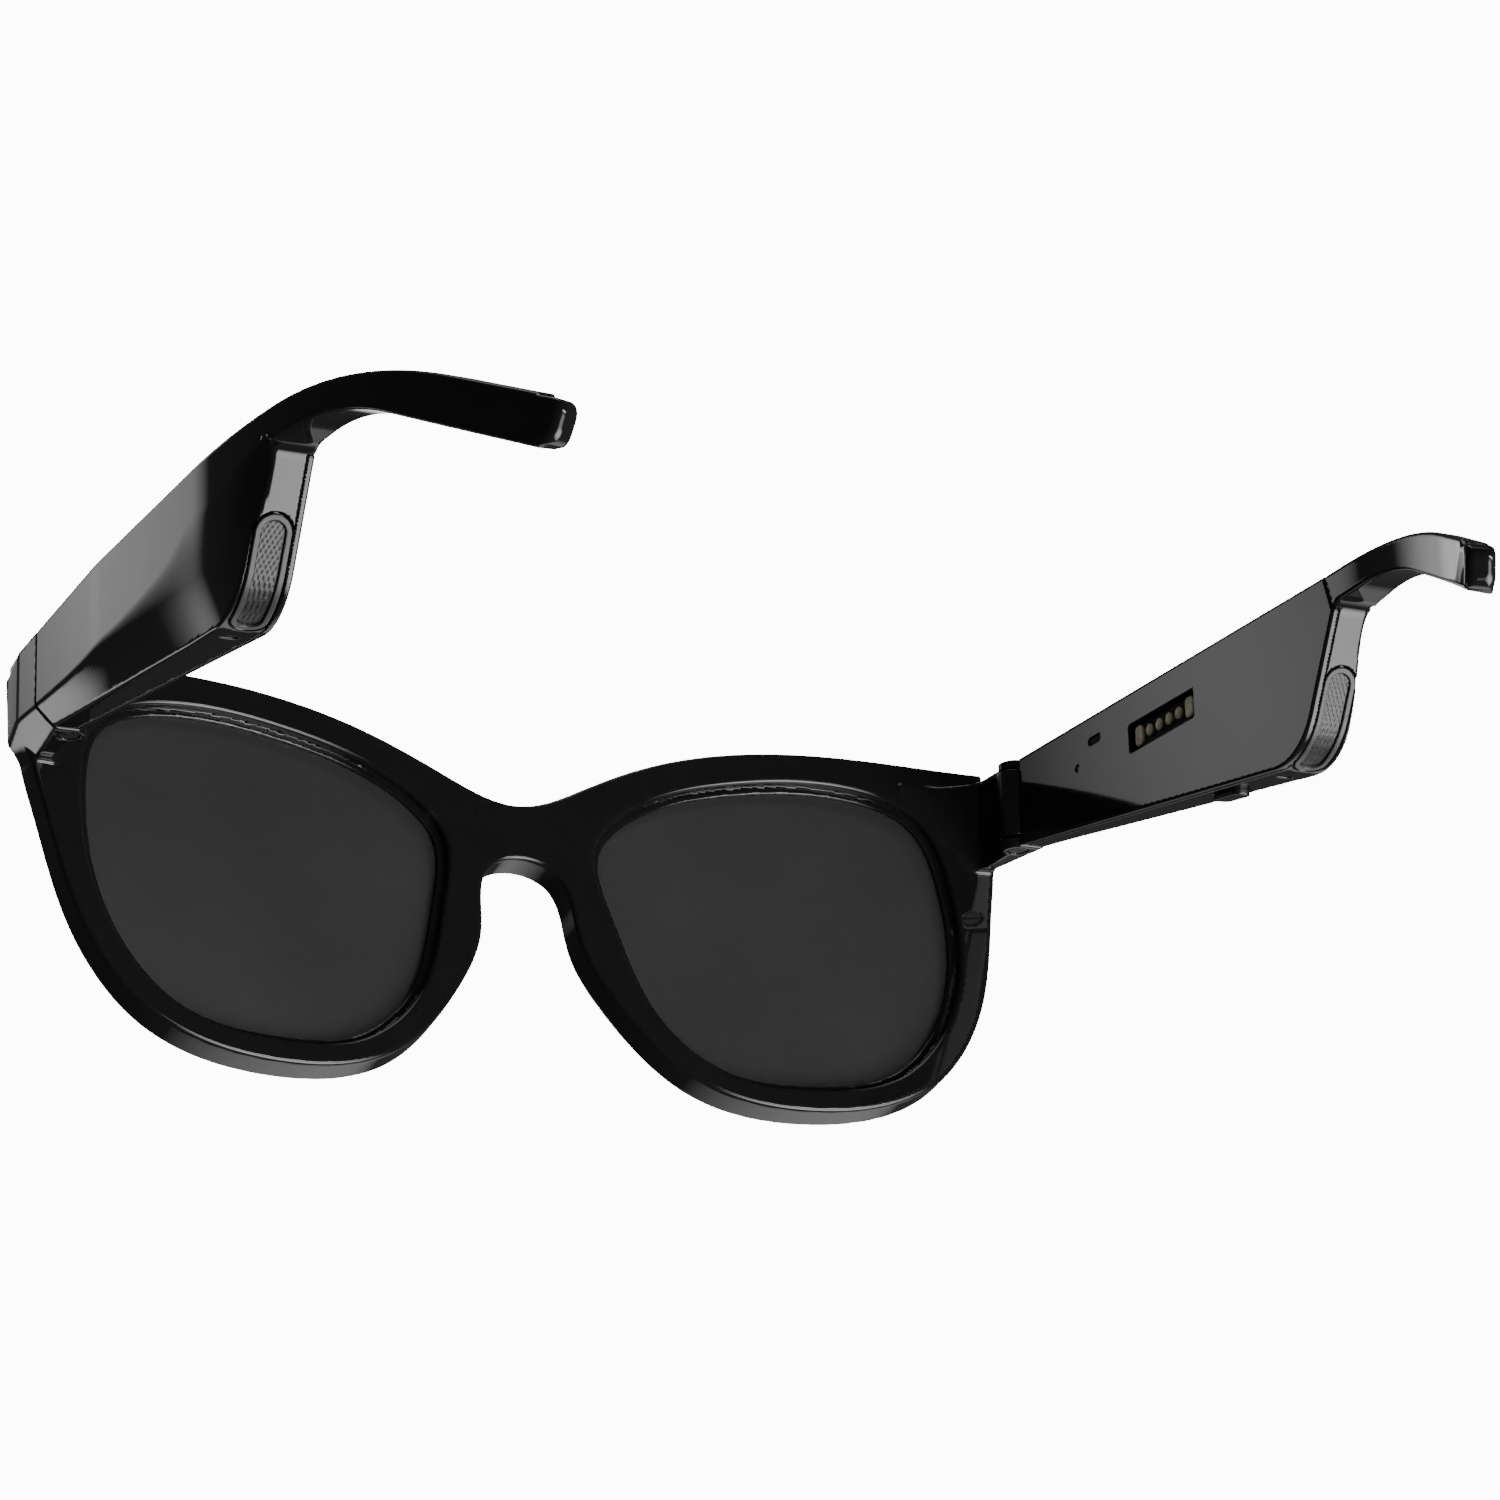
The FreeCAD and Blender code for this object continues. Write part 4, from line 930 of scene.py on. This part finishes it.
LENS_LINE = smooth_curve(scaled(LENS_SHAPE, 0), True, 45)
bridge = LENS_X - LENS_W / 2
top_line = smooth_curve([(0, LENS_Z + 16.0)] + scaled(TOP_SHAPE, RIM), False, 45, (1, 0), (1, -0.08))
low_line = smooth_curve(scaled(LOW_SHAPE, RIM) + [(0.42 * bridge, LENS_Z + 6.0), (0, LENS_Z + 7.6)],
                        False, 45, (-0.1, -1), (-1, 0))
half = np.vstack([top_line, low_line])
outline = np.vstack([half, (half * (-1, 1))[::-1][1:-1]])
FRONT_VIEW = drawing(outline, (-0.5, -3.0), (78.0, 59.0))
LENS_VIEW = drawing(LENS_LINE, (-0.5, -3.0), (78.0, 59.0))
CORNER_PLAN = drawing(rounded([
    (OUTER_X - 4.0, -18.0, 0), (OUTER_X - 1.7, -6.0, 15.0), (OUTER_X - 1.3, TEMPLE_S - 0.2, 0),
    (INNER_X, TEMPLE_S - 0.2, 0), (INNER_X, -9.5, 4.0), (INNER_X - 5.5, -13.6, 3.0),
    (INNER_X - 9.5, -14.0, 0), (INNER_X - 9.5, -18.0, 0)]), (52.0, -28.0), (78.0, 8.0))
CORNER_BOTTOM = -FRONT_DEPTH - 0.2
print("front outline from", len(outline), "points")


# %% Front moulding
def corner_block(x, y, z):
    """Distance to the corner block with its lugs; points are given on the glasses."""
    dy, dz = y - HINGE[1], z - HINGE[2]
    s = dy * math.cos(FACE_UP) + dz * math.sin(FACE_UP)
    h = -dy * math.sin(FACE_UP) + dz * math.cos(FACE_UP)
    block = fillet_cut(CORNER_PLAN(x, s), between(h, CORNER_BOTTOM, 0), 0.4)
    block = fillet_cut(block, facet_gap(x, s, h), 0.35)
    axis = np.hypot(x - HINGE[0], s)
    block = np.minimum(block, fillet_cut(axis - 2.2, between(h, CORNER_BOTTOM, 0), 0.25))
    gap_h = between(h, BARREL[1] - 0.2, BARREL[2] + 0.2)
    block = np.maximum(block, -np.maximum(axis - BARREL[0] - 0.2, gap_h))
    doorway = np.maximum(between(x, HINGE[0] - 3.4, HINGE[0] + 3.4), np.maximum(-s, gap_h))
    block = np.maximum(block, -doorway)
    hole = np.maximum(axis - 0.7, h + 0.6)
    head = np.maximum(axis - 1.35, h - CORNER_BOTTOM - 1.1)
    return fillet_cut(block, -np.minimum(hole, head), 0.1)


def front_distance(x, y, z):
    depth = BASE_RADIUS - np.hypot(x, y - BASE_RADIUS)
    outline = FRONT_VIEW(x, z)
    lens = LENS_VIEW(x, z)
    body = fillet_cut(outline, between(depth, -AHEAD, BEHIND), EDGE)
    shape = np.broadcast_shapes(np.shape(x), np.shape(y), np.shape(z))
    near = np.broadcast_to((x > 53) & (y > -6) & (z > 28), shape)
    points = [np.broadcast_to(v, shape)[near] for v in (x, y, z)]
    block = np.full(shape, 30.0)
    block[near] = np.maximum(corner_block(*points), -AHEAD - np.broadcast_to(depth, shape)[near])
    body = moulded_join(body, block, 1.0)
    step = np.maximum(lens, LIP_THICK - depth)
    body = fillet_cut(body, -step, 0.55)
    body = fillet_cut(body, -(lens + LIP_WIDTH), 0.25)
    groove = np.maximum(lens + 0.25, between(depth, -2.05, 0.05))
    return np.maximum(body, -groove)


skin("front_moulding", front_distance, (0.0, -4.0, -0.8), (75.2, 24.0, 57.2), 0.36, "front",
     ["front_frame"], GLOSS_BLACK, mirrored=True)


# %% [markdown]
# Each lens is a plate that follows the curve of the front, with a fine bevel on its edge, held in
# the groove of the rim.

# %% Lenses
def lens_distance(x, y, z):
    depth = BASE_RADIUS - np.hypot(x, y - BASE_RADIUS)
    return fillet_cut(LENS_VIEW(x, z) + 0.3, between(depth, -1.98, 0), 0.2)


for name, side in SIDES.items():
    def one_lens(x, y, z, side=side):
        return lens_distance(x * side, y, z)
    edges = sorted((9.5 * side, 64.5 * side))
    skin("lens_plate_" + name, one_lens, (edges[0], -2.8, 2.2), (edges[1], 5.4, 52.6), 0.5, "front",
         ["lens_" + name], LENS_TINT)

# %% [markdown]
# The surroundings are plain: a pale floor well below, a white room behind, and large soft lights.
# Black gloss shows only what it reflects, so each light stands where one group of faces mirrors it:
# low behind for the rear faces, a narrow one behind for the rounded edges, low in front for the
# undersides, three high in front for the flat sides and the ear hooks, and one beside the hinge.

# %% Floor and lights
CENTRE = Vector((0.0, 0.06, 0.03))


def softbox(name, place, aim, width, height, brightness):
    """Area light whose brightness fades to nothing at its edges, as a diffuser's does."""
    lamp = bpy.data.lights.new(name, "AREA")
    lamp.shape = "RECTANGLE"
    lamp.size, lamp.size_y = width, height
    lamp.energy = brightness * math.pi * width * height
    lamp.use_nodes = True
    tree = lamp.node_tree
    spot = Wire(tree, None)
    uv = spot.out("ShaderNodeNewGeometry", output="Parametric")
    split = spot.node("ShaderNodeSeparateXYZ", Vector=uv)
    u, v = (Wire(tree, split.outputs[axis]) for axis in ("X", "Y"))
    glow = 16.0 * (u * (1 - u)) * (v * (1 - v))
    tree.links.new(glow.socket, tree.nodes["Emission"].inputs["Strength"])
    thing = bpy.data.objects.new(name, lamp)
    thing.location = Vector(place)
    thing.rotation_euler = (thing.location - Vector(aim)).to_track_quat("Z", "Y").to_euler()
    thing.visible_camera = False
    bpy.context.scene.collection.objects.link(thing)
    return thing


def away(direction, distance):
    return CENTRE + Vector(direction).normalized() * distance


softbox("low_behind", away((-0.43, 0.50, -0.75), 0.62), CENTRE, 0.75, 0.60, 8.5)
edge_light = softbox("edge_light", away((-0.43, 0.864, -0.253), 0.75), CENTRE, 0.60, 0.14, 16.0)
softbox("low_front", away((-0.43, -0.75, -0.50), 0.80), CENTRE, 1.20, 0.80, 1.1)
softbox("left_front", (0.185, -0.262, 0.268), (0.075, 0.05, 0.045), 0.123, 0.20, 1.0)
softbox("middle_front", (-0.06, -0.36, 0.33), CENTRE, 0.24, 0.24, 1.0)
softbox("over_front", (-0.25, -0.45, 0.385), CENTRE, 0.30, 0.30, 1.2)
softbox("low_side", (0.21, -0.58, 0.045), CENTRE, 0.18, 0.22, 1.6)
edge_light.visible_diffuse = False
softbox("overhead", away((0.0, 0.1, 1.0), 1.2), CENTRE, 0.9, 0.9, 1.5)

FLOOR_HALF, FLOOR_Z = 6.0, -0.75
corners = [(a * FLOOR_HALF, b * FLOOR_HALF, FLOOR_Z) for a, b in ((-1, -1), (1, -1), (1, 1), (-1, 1))]
floor_mesh = bpy.data.meshes.new("floor")
floor_mesh.from_pydata(corners, [], [(0, 1, 2, 3)])
floor = bpy.data.objects.new("floor", floor_mesh)
bpy.context.scene.collection.objects.link(floor)
floor.visible_glossy = floor.visible_diffuse = False
PALE = 7.0
paper = Finish("floor_paper", Roughness=0.9, Emission_Strength=PALE)
paper.set("Emission_Color", paper.noise(300.0).tint((0.90, 0.90, 0.90), (0.94, 0.94, 0.94)))
floor_mesh.materials.append(paper.material)

BACKDROP, ROOM_GLOW = 12.0, 0.05
world = bpy.data.worlds.new("room")
bpy.context.scene.world = world
world.use_nodes = True
nodes, links = world.node_tree.nodes, world.node_tree.links
background = nodes["Background"]
background.inputs["Color"].default_value = (1, 1, 1, 1)
path = nodes.new("ShaderNodeLightPath")
dim = nodes.new("ShaderNodeMath")
dim.operation = "MULTIPLY_ADD"
dim.inputs[1].default_value = BACKDROP
dim.inputs[2].default_value = ROOM_GLOW
links.new(path.outputs["Is Camera Ray"], dim.inputs[0])
links.new(dim.outputs[0], background.inputs["Strength"])
